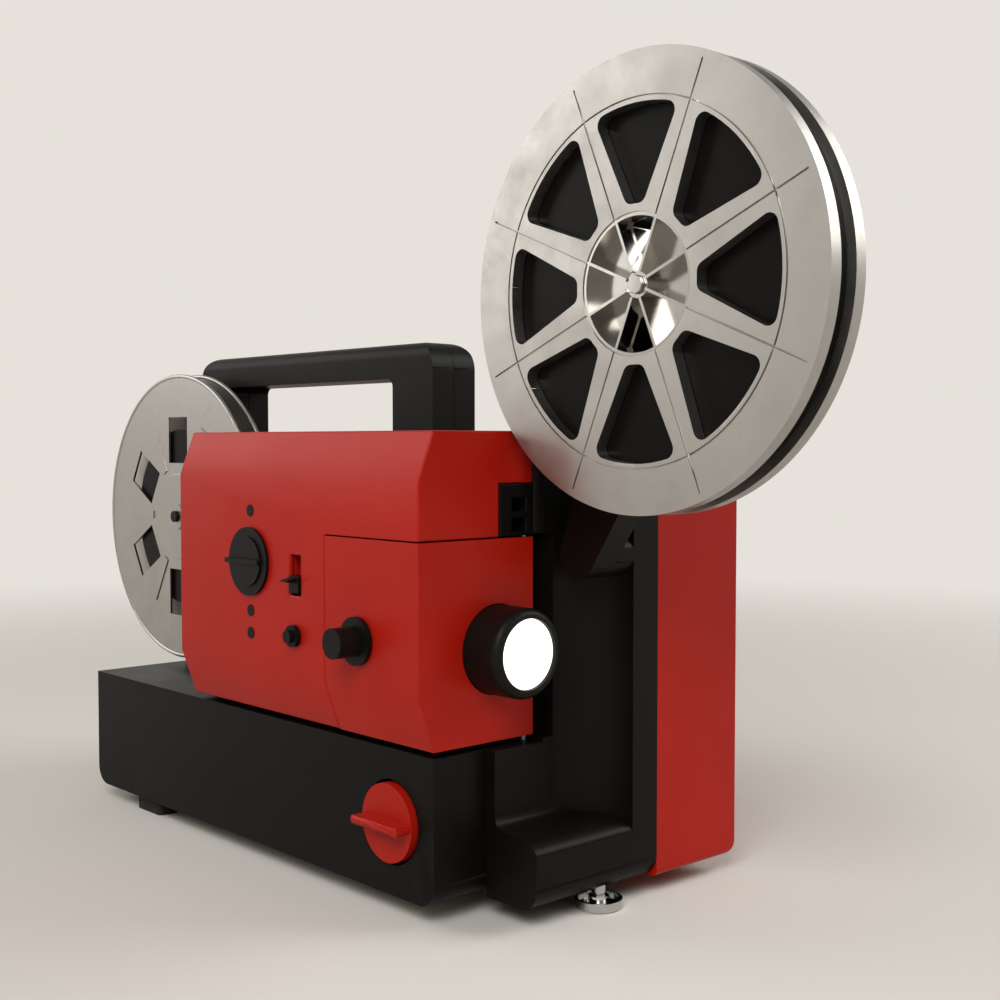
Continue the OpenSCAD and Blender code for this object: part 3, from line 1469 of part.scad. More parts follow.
base_housing();
base_plate();
center_frame();
front_nose();
chassis_plate();
mechanism_cover();
lens_door();
door_hinge_pins();
rear_cover();
handle_near();
handle_far();
case_screws();
rear_feet();
foot_bush();
levelling_foot();
cord_gland();
film_guide();
film_gate();
pressure_plate();
claw_arm();
lens_holder();
lens_barrel();
lens_front_glass();
lens_rear_glass();
focus_knob();
selector_dial();
selector_switch();
slide_switch_button();
slide_switch_body();
framing_knob();
panel_studs();
main_switch_knob();
main_switch_body();
supply_arm();
arm_bolt();
supply_spindle();
supply_reel_near();
supply_reel_far();
supply_hub();
supply_film();
takeup_spindle();
takeup_reel_near();
takeup_reel_far();
takeup_hub();
takeup_film();
bearing_bushes();
bearing_bridge();
main_shaft();
shutter_drum();
idler_gear();
sprocket();
motor();
motor_rotor();
fan_wheel();
drive_belt();
takeup_belt();
lamp();
lamp_socket();
transformer_core();
transformer_coil();
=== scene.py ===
import json
import math

import bmesh
import bpy
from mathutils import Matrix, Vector

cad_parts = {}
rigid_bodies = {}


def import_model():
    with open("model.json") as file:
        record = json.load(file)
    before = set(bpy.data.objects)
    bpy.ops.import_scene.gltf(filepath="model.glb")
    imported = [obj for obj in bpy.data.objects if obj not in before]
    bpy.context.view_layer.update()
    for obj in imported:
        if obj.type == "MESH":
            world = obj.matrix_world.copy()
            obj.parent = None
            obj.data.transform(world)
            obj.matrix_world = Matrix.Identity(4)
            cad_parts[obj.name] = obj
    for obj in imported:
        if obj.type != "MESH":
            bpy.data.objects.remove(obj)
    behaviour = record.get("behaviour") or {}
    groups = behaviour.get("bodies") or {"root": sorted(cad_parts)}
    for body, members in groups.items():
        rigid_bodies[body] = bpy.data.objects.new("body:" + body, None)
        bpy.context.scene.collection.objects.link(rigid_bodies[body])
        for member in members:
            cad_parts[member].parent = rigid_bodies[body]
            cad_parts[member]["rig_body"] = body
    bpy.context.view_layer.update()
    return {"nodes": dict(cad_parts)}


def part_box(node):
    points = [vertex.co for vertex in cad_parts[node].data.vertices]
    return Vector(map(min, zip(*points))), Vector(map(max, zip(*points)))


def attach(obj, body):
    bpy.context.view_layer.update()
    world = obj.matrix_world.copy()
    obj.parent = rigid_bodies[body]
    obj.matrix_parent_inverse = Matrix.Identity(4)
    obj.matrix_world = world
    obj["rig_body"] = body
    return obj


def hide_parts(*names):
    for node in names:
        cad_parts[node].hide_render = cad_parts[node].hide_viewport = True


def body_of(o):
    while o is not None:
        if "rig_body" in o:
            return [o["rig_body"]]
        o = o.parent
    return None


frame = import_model()

# Camera
# The viewpoint is a little above the lens axis, off the front corner on the operator's side.
# It takes the projector in through a 50 mm lens on a 36 mm frame, dipped slightly.
MM = 0.001
CAMERA_PLACE = Vector((536.0, -429.1, 202.4)) * MM
CAMERA_TURN = 47.66
CAMERA_DIP = 2.41
CAMERA_LENS = 50
CAMERA_FRAME = 36
CAMERA_NEAR = 0.01
camera = bpy.data.objects.new("camera", bpy.data.cameras.new("camera"))
camera.data.lens = CAMERA_LENS
camera.data.sensor_width = CAMERA_FRAME
camera.data.clip_start = CAMERA_NEAR
camera.location = CAMERA_PLACE
camera.rotation_euler = (math.radians(90 - CAMERA_DIP), 0, math.radians(CAMERA_TURN))
bpy.context.scene.collection.objects.link(camera)
bpy.context.scene.camera = camera
bpy.context.scene.view_settings.view_transform = "Standard"


# Floor and backdrop
# One pale seamless sweep of studio paper lies flat under the projector and curves up
# far from it on every side, so that any view has the same plain ground.
def srgb(hex_code):
    """An sRGB hex colour as linear numbers."""
    parts = [int(hex_code[i:i + 2], 16) / 255 for i in (1, 3, 5)]
    return (*[c / 12.92 if c <= 0.04045 else ((c + 0.055) / 1.055) ** 2.4 for c in parts], 1.0)


def add(tree, kind, inputs=(), **settings):
    """Adds a node with its settings; an input is a value, an output to link, or a list of outputs."""
    made = tree.nodes.new(kind)
    for name, value in settings.items():
        setattr(made, name, value)
    for name, value in dict(inputs).items():
        for one in value if isinstance(value, list) else [value]:
            if isinstance(one, bpy.types.NodeSocket):
                tree.links.new(one, made.inputs[name])
            else:
                made.inputs[name].default_value = one
    return made


def new_material(name):
    """A material with an empty tree, and the tree."""
    made = bpy.data.materials.new(name)
    made.use_nodes = True
    made.node_tree.nodes.clear()
    return made, made.node_tree


PAPER = "#D9D5CE"
PAPER_PALE = "#E6E2DB"
PAPER_FADE = (0.5, 1.5)
SWEEP_FLAT = 2.6
SWEEP_CURVE = 0.9
SWEEP_RISE = 1.6
CURVE_STEPS = 8
SWEEP_STEPS = 64
SWEEP_WELD = 1e-5
# Matt paper shows its own colour and the shadow on it; away from the projector it fades to an even pale.
paper, tree = new_material("seamless_paper")
where = add(tree, "ShaderNodeTexCoord").outputs["Object"]
flat = add(tree, "ShaderNodeVectorMath", {0: where, 1: (1, 1, 0)}, operation="MULTIPLY")
reach = add(tree, "ShaderNodeVectorMath", {0: flat.outputs["Vector"]}, operation="LENGTH")
fade = add(tree, "ShaderNodeMapRange", {
    "Value": reach.outputs["Value"], "From Min": PAPER_FADE[0], "From Max": PAPER_FADE[1]},
    interpolation_type="SMOOTHSTEP")
ray = add(tree, "ShaderNodeLightPath").outputs
seen = add(tree, "ShaderNodeMath", {0: ray["Is Camera Ray"], 1: ray["Is Glossy Ray"]}, operation="ADD")
seen = add(tree, "ShaderNodeMath", {0: seen.outputs[0], 1: ray["Is Transmission Ray"]}, operation="ADD")
share = add(tree, "ShaderNodeMath", {0: seen.outputs[0], 1: fade.outputs["Result"]}, operation="MULTIPLY")
matt = add(tree, "ShaderNodeBsdfDiffuse", {"Color": srgb(PAPER)})
pale = add(tree, "ShaderNodeEmission", {"Color": srgb(PAPER_PALE), "Strength": 1.0})
ground = add(tree, "ShaderNodeMixShader", {
    "Fac": share.outputs[0], 1: matt.outputs["BSDF"], 2: pale.outputs["Emission"]})
add(tree, "ShaderNodeOutputMaterial", {"Surface": ground.outputs["Shader"]})
profile = [Vector((0, 0, 0)), Vector((SWEEP_FLAT, 0, 0))]
for i in range(1, CURVE_STEPS + 1):
    bend = math.radians(90 * i / CURVE_STEPS)
    out = SWEEP_FLAT + SWEEP_CURVE * math.sin(bend)
    profile.append(Vector((out, 0, SWEEP_CURVE * (1 - math.cos(bend)))))
profile.append(profile[-1] + Vector((0, 0, SWEEP_RISE)))
sweep = bmesh.new()
points = [sweep.verts.new(p) for p in profile]
lines = [sweep.edges.new(pair) for pair in zip(points, points[1:])]
bmesh.ops.spin(
    sweep, geom=points + lines, axis=(0, 0, 1), cent=(0, 0, 0), angle=2 * math.pi, steps=SWEEP_STEPS)
bmesh.ops.remove_doubles(sweep, verts=sweep.verts, dist=SWEEP_WELD)
bmesh.ops.recalc_face_normals(sweep, faces=sweep.faces)
floor_mesh = bpy.data.meshes.new("studio_sweep")
sweep.to_mesh(floor_mesh)
sweep.free()
floor_mesh.polygons.foreach_set("use_smooth", [True] * len(floor_mesh.polygons))
floor_mesh.materials.append(paper)
floor = bpy.data.objects.new("studio_sweep", floor_mesh)
bpy.context.scene.collection.objects.link(floor)

# Light
# A broad soft box stands ahead on the operator's side, a weaker one behind on the same side
# and one over the far side, under an even sky.
SKY = "#F0EEEA"
SKY_LEVEL = 0.4
LIGHT_AIM = Vector((0, 0, 0.15))
world = bpy.data.worlds.new("studio_sky")
bpy.context.scene.world = world
world.use_nodes = True
sky = world.node_tree.nodes["Background"].inputs
sky["Color"].default_value = srgb(SKY)
sky["Strength"].default_value = SKY_LEVEL
for name, place, width, power in [
    ("key_box", (0.9, -1.2, 1.3), 0.9, 22),
    ("side_box", (-1.3, -0.9, 0.9), 1.1, 8),
    ("far_box", (0.9, 1.2, 1.1), 1.0, 14),
]:
    soft_box = bpy.data.lights.new(name, "AREA")
    soft_box.size = width
    soft_box.energy = power
    stand = bpy.data.objects.new(name, soft_box)
    stand.location = place
    stand.rotation_euler = (LIGHT_AIM - Vector(place)).to_track_quat("-Z", "Y").to_euler()
    bpy.context.scene.collection.objects.link(stand)

# Base
# The base is a black ABS moulding with a fine spark-eroded grain. It is open below, where the
# floor plate closes it, and the cord gland sits in its rear wall.
ABS_BLACK = "#0A0908"
ABS_BLACK_WORN = "#110F0C"
ABS_IOR = 1.53
CLOUD_MM = 45
GRAIN_MM = 0.9
GRAIN_DEPTH = 0.1
# The Mix node's colour sockets share their names with its number sockets, so they go by their places.
MIX_A, MIX_B, MIX_OUT = 6, 7, 2


def moulded_abs(
    name, fresh, worn, cloud_mm, cloud_detail, grain_mm, grain_strength, gloss_range, specular
):
    """ABS with the grain of its mould, and a colour and gloss clouded by handling."""
    made, tree = new_material(name)
    where = add(tree, "ShaderNodeTexCoord").outputs["Object"]
    cloud = add(tree, "ShaderNodeTexNoise", {
        "Vector": where, "Scale": 1 / (cloud_mm * MM), "Detail": cloud_detail})
    # The real grain is a third of a millimetre or less, too fine to show, so it is drawn wider.
    grain = add(tree, "ShaderNodeTexNoise", {
        "Vector": where, "Scale": 1 / (grain_mm * MM), "Detail": 2.0})
    tint = add(tree, "ShaderNodeMix", {
        "Factor": cloud.outputs["Fac"], MIX_A: srgb(fresh), MIX_B: srgb(worn)}, data_type="RGBA")
    gloss = add(tree, "ShaderNodeMapRange", {
        "Value": cloud.outputs["Fac"], "To Min": gloss_range[0], "To Max": gloss_range[1]})
    relief = add(tree, "ShaderNodeBump", {
        "Height": grain.outputs["Fac"], "Strength": grain_strength, "Distance": GRAIN_DEPTH * MM})
    surface = add(tree, "ShaderNodeBsdfPrincipled", {
        "Base Color": tint.outputs[MIX_OUT], "Roughness": gloss.outputs["Result"],
        "Normal": relief.outputs["Normal"], "IOR": ABS_IOR, "Specular IOR Level": specular})
    add(tree, "ShaderNodeOutputMaterial", {"Surface": surface.outputs["BSDF"]})
    return made


# Eroded steel moulds leave ABS satin, with a faint cloudiness where hands have polished it.
black_abs = moulded_abs(
    "grained_black_abs", ABS_BLACK, ABS_BLACK_WORN, cloud_mm=CLOUD_MM, cloud_detail=4.0,
    grain_mm=GRAIN_MM, grain_strength=0.15, gloss_range=(0.34, 0.5), specular=0.09)
WELD = 0.002
FLAT_TURN = 0.4
SHARP_TURN = 32
EDGE_ROOM = 1.2
EDGE_STEPS = 3
FACE_WEIGHT = 100


def dress(name, nodes, material, edge):
    """One piece in place of some solids, with faces joined, edges rounded and a finish."""
    shell = bmesh.new()
    for node in nodes:
        shell.from_mesh(frame["nodes"][node].data)
    bmesh.ops.remove_doubles(shell, verts=shell.verts, dist=WELD * MM)
    bmesh.ops.dissolve_limit(
        shell, angle_limit=math.radians(FLAT_TURN), verts=shell.verts, edges=shell.edges)
    weight = shell.edges.layers.float.new("bevel_weight_edge")
    for rim in shell.edges:
        sharp = len(rim.link_faces) == 2 and rim.calc_face_angle() > math.radians(SHARP_TURN)
        # A face narrower than the rounding, such as a groove's side, keeps its edges, as thin sheet does.
        roomy = all(
            2 * f.calc_area() > EDGE_ROOM * edge * MM * f.calc_perimeter() for f in rim.link_faces)
        rim[weight] = 1.0 if sharp and roomy else 0.0
        rim.smooth = not sharp or roomy
    mesh = bpy.data.meshes.new(name)
    shell.to_mesh(mesh)
    shell.free()
    mesh.polygons.foreach_set("use_smooth", [True] * len(mesh.polygons))
    mesh.materials.append(material)
    piece = bpy.data.objects.new(name, mesh)
    bpy.context.scene.collection.objects.link(piece)
    rounding = piece.modifiers.new("rounded_edges", "BEVEL")
    rounding.width = edge * MM
    rounding.segments = EDGE_STEPS
    rounding.limit_method = "WEIGHT"
    # The broad faces set the normals, so that they stay flat up to their rounded edges.
    flat_faces = piece.modifiers.new("flat_faces", "WEIGHTED_NORMAL")
    flat_faces.mode = "FACE_AREA"
    flat_faces.weight = FACE_WEIGHT
    flat_faces.keep_sharp = True
    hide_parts(*nodes)
    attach(piece, body_of(frame["nodes"][nodes[0]])[0])


dress("base_moulding", ["base_housing"], black_abs, edge=1.2)

# Centre frame
# The frame is the black spine between the covers, moulded in the same ABS, and its thick nose
# carries the scooped recess in front of the lens and the seat of the levelling foot.
dress("centre_spine", ["center_frame", "front_nose"], black_abs, edge=1.4)

# Steelwork
# The floor plate, the chassis plate and the gate are zinc plated pressings, and the shafts, pins
# and sprocket are turned from bright bar. The motor and the transformer's core are plated alike.
ZINC = "#A9A8A5"
ZINC_DULL = "#8F8D89"
SPANGLE_MM = 6


def dulled_metal(name, bright, dull, patch_mm, detail, gloss_range):
    """Metal whose colour and gloss vary in patches."""
    made, tree = new_material(name)
    where = add(tree, "ShaderNodeTexCoord").outputs["Object"]
    patch = add(tree, "ShaderNodeTexNoise", {
        "Vector": where, "Scale": 1 / (patch_mm * MM), "Detail": detail})
    tint = add(tree, "ShaderNodeMix", {
        "Factor": patch.outputs["Fac"], MIX_A: srgb(bright), MIX_B: srgb(dull)}, data_type="RGBA")
    gloss = add(tree, "ShaderNodeMapRange", {
        "Value": patch.outputs["Fac"], "To Min": gloss_range[0], "To Max": gloss_range[1]})
    surface = add(tree, "ShaderNodeBsdfPrincipled", {
        "Base Color": tint.outputs[MIX_OUT], "Metallic": 1.0, "Roughness": gloss.outputs["Result"]})
    add(tree, "ShaderNodeOutputMaterial", {"Surface": surface.outputs["BSDF"]})
    return made


# Zinc plate shows a faint spangle and uneven dullness.
zinc = dulled_metal("zinc_plated_steel", ZINC, ZINC_DULL, SPANGLE_MM, detail=5.0, gloss_range=(0.25, 0.45))


def coat(material, *nodes):
    """Gives solids that stay as they are their finish."""
    for node in nodes:
        solid = frame["nodes"][node].data
        solid.materials.clear()
        solid.materials.append(material)


for name, node, edge in [
    ("floor_plate", "base_plate", 0.4),
    ("hinge_pins", "door_hinge_pins", 0.3),
    ("gate_plate", "film_gate", 0.2),
    ("gate_spring_plate", "pressure_plate", 0.1),
    ("claw_plate", "claw_arm", 0.2),
    ("film_sprocket", "sprocket", 0.1),
]:
    dress(name, [node], zinc, edge)
coat(zinc, "chassis_plate", "arm_bolt", "bearing_bridge", "main_shaft")
coat(zinc, "motor", "motor_rotor", "transformer_core")

# Brasswork
# The shaft bushes, the foot's bush and the idler gear are turned and cut in brass, and the
# bushes are pressed in.
BRASS = "#B8924C"
BRASS_DULL = "#9A7638"
TARNISH_MM = 7
# Cut brass keeps a warm shine that tarnish dulls in patches.
brass = dulled_metal("turned_brass", BRASS, BRASS_DULL, TARNISH_MM, detail=4.0, gloss_range=(0.22, 0.42))
coat(brass, "foot_bush", "bearing_bushes", "idler_gear")

# Belts
# One rubber belt runs from the motor to the main shaft and one from the idler to the take-up
# spindle. They are held by their own tension.
RUBBER = "#161514"
RUBBER_DUSTY = "#24221F"
DUST_MM = 5
DUST_DEPTH = 0.2
# Rubber is dull and holds a little dust.
rubber, tree = new_material("moulded_rubber")
where = add(tree, "ShaderNodeTexCoord").outputs["Object"]
dust = add(tree, "ShaderNodeTexNoise", {"Vector": where, "Scale": 1 / (DUST_MM * MM), "Detail": 5.0})
tint = add(tree, "ShaderNodeMix", {
    "Factor": dust.outputs["Fac"], MIX_A: srgb(RUBBER), MIX_B: srgb(RUBBER_DUSTY)}, data_type="RGBA")
relief = add(tree, "ShaderNodeBump", {
    "Height": dust.outputs["Fac"], "Strength": 0.2, "Distance": DUST_DEPTH * MM})
surface = add(tree, "ShaderNodeBsdfPrincipled", {
    "Base Color": tint.outputs[MIX_OUT], "Roughness": 0.8, "IOR": 1.52,
    "Normal": relief.outputs["Normal"], "Specular IOR Level": 0.3})
add(tree, "ShaderNodeOutputMaterial", {"Surface": surface.outputs["BSDF"]})
coat(rubber, "drive_belt", "takeup_belt")

# Lamp and transformer
# The lamp is a glass reflector round a small bulb, in a glazed ceramic socket on the chassis
# plate. A transformer on the floor plate feeds it, with a coil of enamelled copper wire.
GLASS_TINT = "#F4F2EC"
GLASS_WAVE_MM = 12
GLASS_WAVE_DEPTH = 0.3
# Pressed glass is clear, with slight waves.
lamp_glass, tree = new_material("pressed_lamp_glass")
where = add(tree, "ShaderNodeTexCoord").outputs["Object"]
wave = add(tree, "ShaderNodeTexNoise", {"Vector": where, "Scale": 1 / (GLASS_WAVE_MM * MM), "Detail": 1.0})
relief = add(tree, "ShaderNodeBump", {
    "Height": wave.outputs["Fac"], "Strength": 0.1, "Distance": GLASS_WAVE_DEPTH * MM})
surface = add(tree, "ShaderNodeBsdfPrincipled", {
    "Base Color": srgb(GLASS_TINT), "Roughness": 0.03, "IOR": 1.5, "Transmission Weight": 1.0,
    "Normal": relief.outputs["Normal"]})
add(tree, "ShaderNodeOutputMaterial", {"Surface": surface.outputs["BSDF"]})
coat(lamp_glass, "lamp")
GLAZE = "#E4DDCF"
GLAZE_DEEP = "#D3C9B7"
POOL_MM = 10
# Glaze pools and thins over the fired clay, and stays glossy.
ceramic, tree = new_material("glazed_ceramic")
where = add(tree, "ShaderNodeTexCoord").outputs["Object"]
pool = add(tree, "ShaderNodeTexNoise", {"Vector": where, "Scale": 1 / (POOL_MM * MM), "Detail": 3.0})
tint = add(tree, "ShaderNodeMix", {
    "Factor": pool.outputs["Fac"], MIX_A: srgb(GLAZE), MIX_B: srgb(GLAZE_DEEP)}, data_type="RGBA")
surface = add(tree, "ShaderNodeBsdfPrincipled", {
    "Base Color": tint.outputs[MIX_OUT], "Roughness": 0.2, "IOR": 1.5})
add(tree, "ShaderNodeOutputMaterial", {"Surface": surface.outputs["BSDF"]})
coat(ceramic, "lamp_socket")
WIRE = "#8C4A20"
WIRE_CREASE_SHADE = "#5E2F12"
WIRE_MM = 0.8
WIRE_DEPTH = 0.2
# At a scale of 1 the Wave texture's bands are this far apart.
WAVE_BAND = math.pi / 10
# Turns of enamelled wire lie side by side up the leg as fine shiny bands; painted shade darkens the colour
# between the turns, besides the bump.
copper, tree = new_material("enamelled_copper_wire")
where = add(tree, "ShaderNodeTexCoord").outputs["Object"]
turns = add(tree, "ShaderNodeTexWave", {
    "Vector": where, "Scale": WAVE_BAND / (WIRE_MM * MM)}, bands_direction="Z")
tint = add(tree, "ShaderNodeMix", {
    "Factor": turns.outputs["Fac"], MIX_A: srgb(WIRE_CREASE_SHADE), MIX_B: srgb(WIRE)}, data_type="RGBA")
relief = add(tree, "ShaderNodeBump", {
    "Height": turns.outputs["Fac"], "Strength": 0.5, "Distance": WIRE_DEPTH * MM})
surface = add(tree, "ShaderNodeBsdfPrincipled", {
    "Base Color": tint.outputs[MIX_OUT], "Metallic": 0.7, "Roughness": 0.35,
    "Normal": relief.outputs["Normal"]})
add(tree, "ShaderNodeOutputMaterial", {"Surface": surface.outputs["BSDF"]})
coat(copper, "transformer_coil")

# Red covers
# The mechanism cover, the lens door and the rear cover are red ABS mouldings, smoother than the
# black and left with a satin gloss. The rear cover is held by four screws.
ABS_RED = "#AF1B0B"
ABS_RED_DEEP = "#9E1609"
# Polished moulds leave the red smoother than the black, with soft broad reflections.
red_abs = moulded_abs(
    "satin_red_abs", ABS_RED, ABS_RED_DEEP, cloud_mm=CLOUD_MM, cloud_detail=3.0,
    grain_mm=GRAIN_MM, grain_strength=0.06, gloss_range=(0.32, 0.46), specular=0.15)
dress("mechanism_moulding", ["mechanism_cover"], red_abs, edge=0.9)
dress("door_moulding", ["lens_door"], red_abs, edge=0.9)
dress("rear_moulding", ["rear_cover"], red_abs, edge=0.8)

# Handle
# The handle is two black ABS halves that meet on its centre line and are screwed together from
# the far side. Its legs stand on the top of the case.
dress("handle_half_near", ["handle_near"], black_abs, edge=1.6)
dress("handle_half_far", ["handle_far"], black_abs, edge=1.6)

# Film guide
# The film guide is a black ABS block above the door, with two slots that the film is fed
# through. The door's upper hinge pin ends in it.
dress("film_guide_block", ["film_guide"], black_abs, edge=0.5)

# Knobs and switches
# The dial, knobs, slide button, plugs, gland, switch bodies, shutter cup and blower wheel are
# moulded in a finer grained black ABS. The main switch's knob and the slide's well are red.
TRIM_BLACK = "#0C0B0A"
TRIM_BLACK_WORN = "#161413"
TRIM_CLOUD_MM = 12
TRIM_GRAIN_MM = 0.5
# Small mouldings are handled most, so their gloss varies over a shorter distance.
trim_abs = moulded_abs(
    "fine_black_abs", TRIM_BLACK, TRIM_BLACK_WORN, cloud_mm=TRIM_CLOUD_MM, cloud_detail=4.0,
    grain_mm=TRIM_GRAIN_MM, grain_strength=0.2, gloss_range=(0.34, 0.5), specular=0.1)
for name, node, edge in [
    ("selector_moulding", "selector_dial", 0.4),
    ("slide_button", "slide_switch_button", 0.3),
    ("framing_moulding", "framing_knob", 0.5),
    ("focus_moulding", "focus_knob", 0.8),
    ("plugs", "panel_studs", 0.5),
    ("gland_moulding", "cord_gland", 0.6),
    ("rotary_switch", "selector_switch", 0.3),
    ("mains_switch", "main_switch_body", 0.5),
    ("shutter_cup", "shutter_drum", 0.2),
    ("blower_wheel", "fan_wheel", 0.2),
]:
    dress(name, [node], trim_abs, edge)
dress("main_knob", ["main_switch_knob"], red_abs, edge=0.8)
dress("slide_well", ["slide_switch_body"], red_abs, edge=0.3)

# Lens
# The barrel is turned aluminium under black enamel, racked in and out in a sleeve on the door.
# Its glasses glow white with painted light, which stands in for the lamp behind them.
ENAMEL_BLACK = "#0B0A0A"
ENAMEL_WORN = "#15130F"
CRACKLE_MM = 1.4
CRACKLE_DEPTH = 0.15
# Stoved enamel shrinks into a fine crackle, which breaks its gloss up.
enamel, tree = new_material("black_crackle_enamel")
where = add(tree, "ShaderNodeTexCoord").outputs["Object"]
cells = add(tree, "ShaderNodeTexVoronoi", {"Vector": where, "Scale": 1 / (CRACKLE_MM * MM)}).outputs
tint = add(tree, "ShaderNodeMix", {
    "Factor": cells["Distance"], MIX_A: srgb(ENAMEL_BLACK), MIX_B: srgb(ENAMEL_WORN)}, data_type="RGBA")
relief = add(tree, "ShaderNodeBump", {
    "Height": cells["Distance"], "Strength": 0.12, "Distance": CRACKLE_DEPTH * MM})
surface = add(tree, "ShaderNodeBsdfPrincipled", {
    "Base Color": tint.outputs[MIX_OUT], "Roughness": 0.42,
    "Normal": relief.outputs["Normal"], "Specular IOR Level": 0.12})
add(tree, "ShaderNodeOutputMaterial", {"Surface": surface.outputs["BSDF"]})
dress("lens_tube", ["lens_barrel"], enamel, edge=0.4)
dress("lens_sleeve", ["lens_holder"], enamel, edge=0.3)
PAINTED_GLOW_WHITE = "#FFFEFA"
PAINTED_GLOW_WARM = "#FFF6E2"
GLOW_MM = 9
# Painted glow: the glass emits white light in place of the lamp's, a little warmer in soft patches.
painted_glow_glass, tree = new_material("painted_glow_lens_glass")
where = add(tree, "ShaderNodeTexCoord").outputs["Object"]
glow = add(tree, "ShaderNodeTexNoise", {"Vector": where, "Scale": 1 / (GLOW_MM * MM), "Detail": 1.0})
tint = add(tree, "ShaderNodeMix", {
    "Factor": glow.outputs["Fac"], MIX_A: srgb(PAINTED_GLOW_WHITE), MIX_B: srgb(PAINTED_GLOW_WARM)}, data_type="RGBA")
surface = add(tree, "ShaderNodeBsdfPrincipled", {
    "Base Color": tint.outputs[MIX_OUT], "Roughness": 0.05,
    "Emission Color": tint.outputs[MIX_OUT], "Emission Strength": 1.2})
add(tree, "ShaderNodeOutputMaterial", {"Surface": surface.outputs["BSDF"]})
dress("lens_front", ["lens_front_glass"], painted_glow_glass, edge=0.3)
dress("lens_back", ["lens_rear_glass"], painted_glow_glass, edge=0.3)

# Supply arm
# The arm is a thick black ABS moulding that carries the spindle. It stands on the pad in the
# recess and is bolted from inside the rear cover.
dress("arm_casting", ["supply_arm"], black_abs, edge=3)

# Supply reel
# Each flange is cast in aluminium with eight windows and turned on its face, and the hub
# between them is a polished cup with eight fins.
REEL_METAL = "#B4B1AC"
REEL_SMUDGE = "#99958F"
SMUDGE_MM = 22
SPECK_MM = 3
SPECK_SHARE = 0.3
WEAR_RANGE = (0.4, 0.9)
TURNING_MM = 0.6
TURNING_DEPTH = 0.05


def reach_from(tree, where, spindle):
    """The distance from a spindle that runs across the projector."""
    about = add(tree, "ShaderNodeMapping", {"Vector": where, "Location": tuple(-c for c in spindle)})
    flat = add(tree, "ShaderNodeVectorMath", {
        0: about.outputs["Vector"], 1: (1, 0, 1)}, operation="MULTIPLY")
    return add(tree, "ShaderNodeVectorMath", {0: flat.outputs["Vector"]}, operation="LENGTH").outputs["Value"]


def turned_metal(name, spindle, gloss_range):
    """Bright metal with turning lines round a spindle, smudged by handling."""
    made, tree = new_material(name)
    where = add(tree, "ShaderNodeTexCoord").outputs["Object"]
    # The turning lines are a tenth of a millimetre apart, so they are drawn six times as wide.
    lines = add(tree, "ShaderNodeTexNoise", {
        "W": reach_from(tree, where, spindle), "Scale": 1 / (TURNING_MM * MM), "Detail": 2.0},
        noise_dimensions="1D")
    smudge = add(tree, "ShaderNodeTexNoise", {
        "Vector": where, "Scale": 1 / (SMUDGE_MM * MM), "Detail": 6.0, "Roughness": 0.62})
    speck = add(tree, "ShaderNodeTexNoise", {
        "Vector": where, "Scale": 1 / (SPECK_MM * MM), "Detail": 3.0})
    tint = add(tree, "ShaderNodeMix", {
        "Factor": smudge.outputs["Fac"], MIX_A: srgb(REEL_METAL), MIX_B: srgb(REEL_SMUDGE)},
        data_type="RGBA")
    worn = add(tree, "ShaderNodeMath", {
        0: speck.outputs["Fac"], 1: SPECK_SHARE, 2: smudge.outputs["Fac"]}, operation="MULTIPLY_ADD")
    gloss = add(tree, "ShaderNodeMapRange", {
        "Value": worn.outputs[0], "From Min": WEAR_RANGE[0], "From Max": WEAR_RANGE[1],
        "To Min": gloss_range[0], "To Max": gloss_range[1]})
    relief = add(tree, "ShaderNodeBump", {
        "Height": lines.outputs["Fac"], "Strength": 0.08, "Distance": TURNING_DEPTH * MM})
    surface = add(tree, "ShaderNodeBsdfPrincipled", {
        "Base Color": tint.outputs[MIX_OUT], "Metallic": 1.0, "Roughness": gloss.outputs["Result"],
        "Normal": relief.outputs["Normal"]})
    add(tree, "ShaderNodeOutputMaterial", {"Surface": surface.outputs["BSDF"]})
    return made


def middle(node):
    """The middle of a solid's box."""
    lo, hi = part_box(node)
    return (Vector(lo) + Vector(hi)) / 2


supply_spindle_at = middle("supply_film")
# A turned face spreads its reflections softly round the spindle.
supply_metal = turned_metal("turned_aluminium", supply_spindle_at, gloss_range=(0.26, 0.46))
# The polished cup and axle mirror the fins and the floor.
cup_metal = turned_metal("polished_aluminium", supply_spindle_at, gloss_range=(0.12, 0.24))
dress("supply_flange_near", ["supply_reel_near"], supply_metal, edge=0.5)
dress("supply_flange_far", ["supply_reel_far"], supply_metal, edge=0.5)
dress("supply_cup", ["supply_hub"], cup_metal, edge=0.25)
dress("supply_axle", ["supply_spindle"], cup_metal, edge=0.3)

# Take-up reel
# The take-up reel is tinplate: two pressed discs with rolled rims, slots and flat ribs, spot
# welded to a drum. It turns on a black spindle with a driving flange.
takeup_spindle_at = middle("takeup_film")
# Tinplate is a little glossier than the turned aluminium, with the same soft smudges.
tinplate = turned_metal("pressed_tinplate", takeup_spindle_at, gloss_range=(0.24, 0.42))
coat(tinplate, "takeup_reel_near", "takeup_reel_far")
dress("takeup_drum", ["takeup_hub"], tinplate, edge=0.4)
dress("takeup_axle", ["takeup_spindle"], trim_abs, edge=0.5)

# Film
# The film is glossy black acetate, wound turn on turn, with one row of sprocket holes. The last
# turn on each reel is a strip of its own, so that its holes are open.
FILM_BLACK = "#060505"
FILM_EDGE = "#100E0C"
FILM_T = 0.15
FILM_TURN_MM = 0.45
FILM_TURN_DEPTH = 0.1
STRIP_WELD = 0.01
# A pitch is four cells long and the first is the hole; the strip is seven rows wide and the second has it.
HOLE_PITCH = 3.81
HOLE_SPLIT = 4
STRIP_ROWS = 7
HOLE_ROW = 1


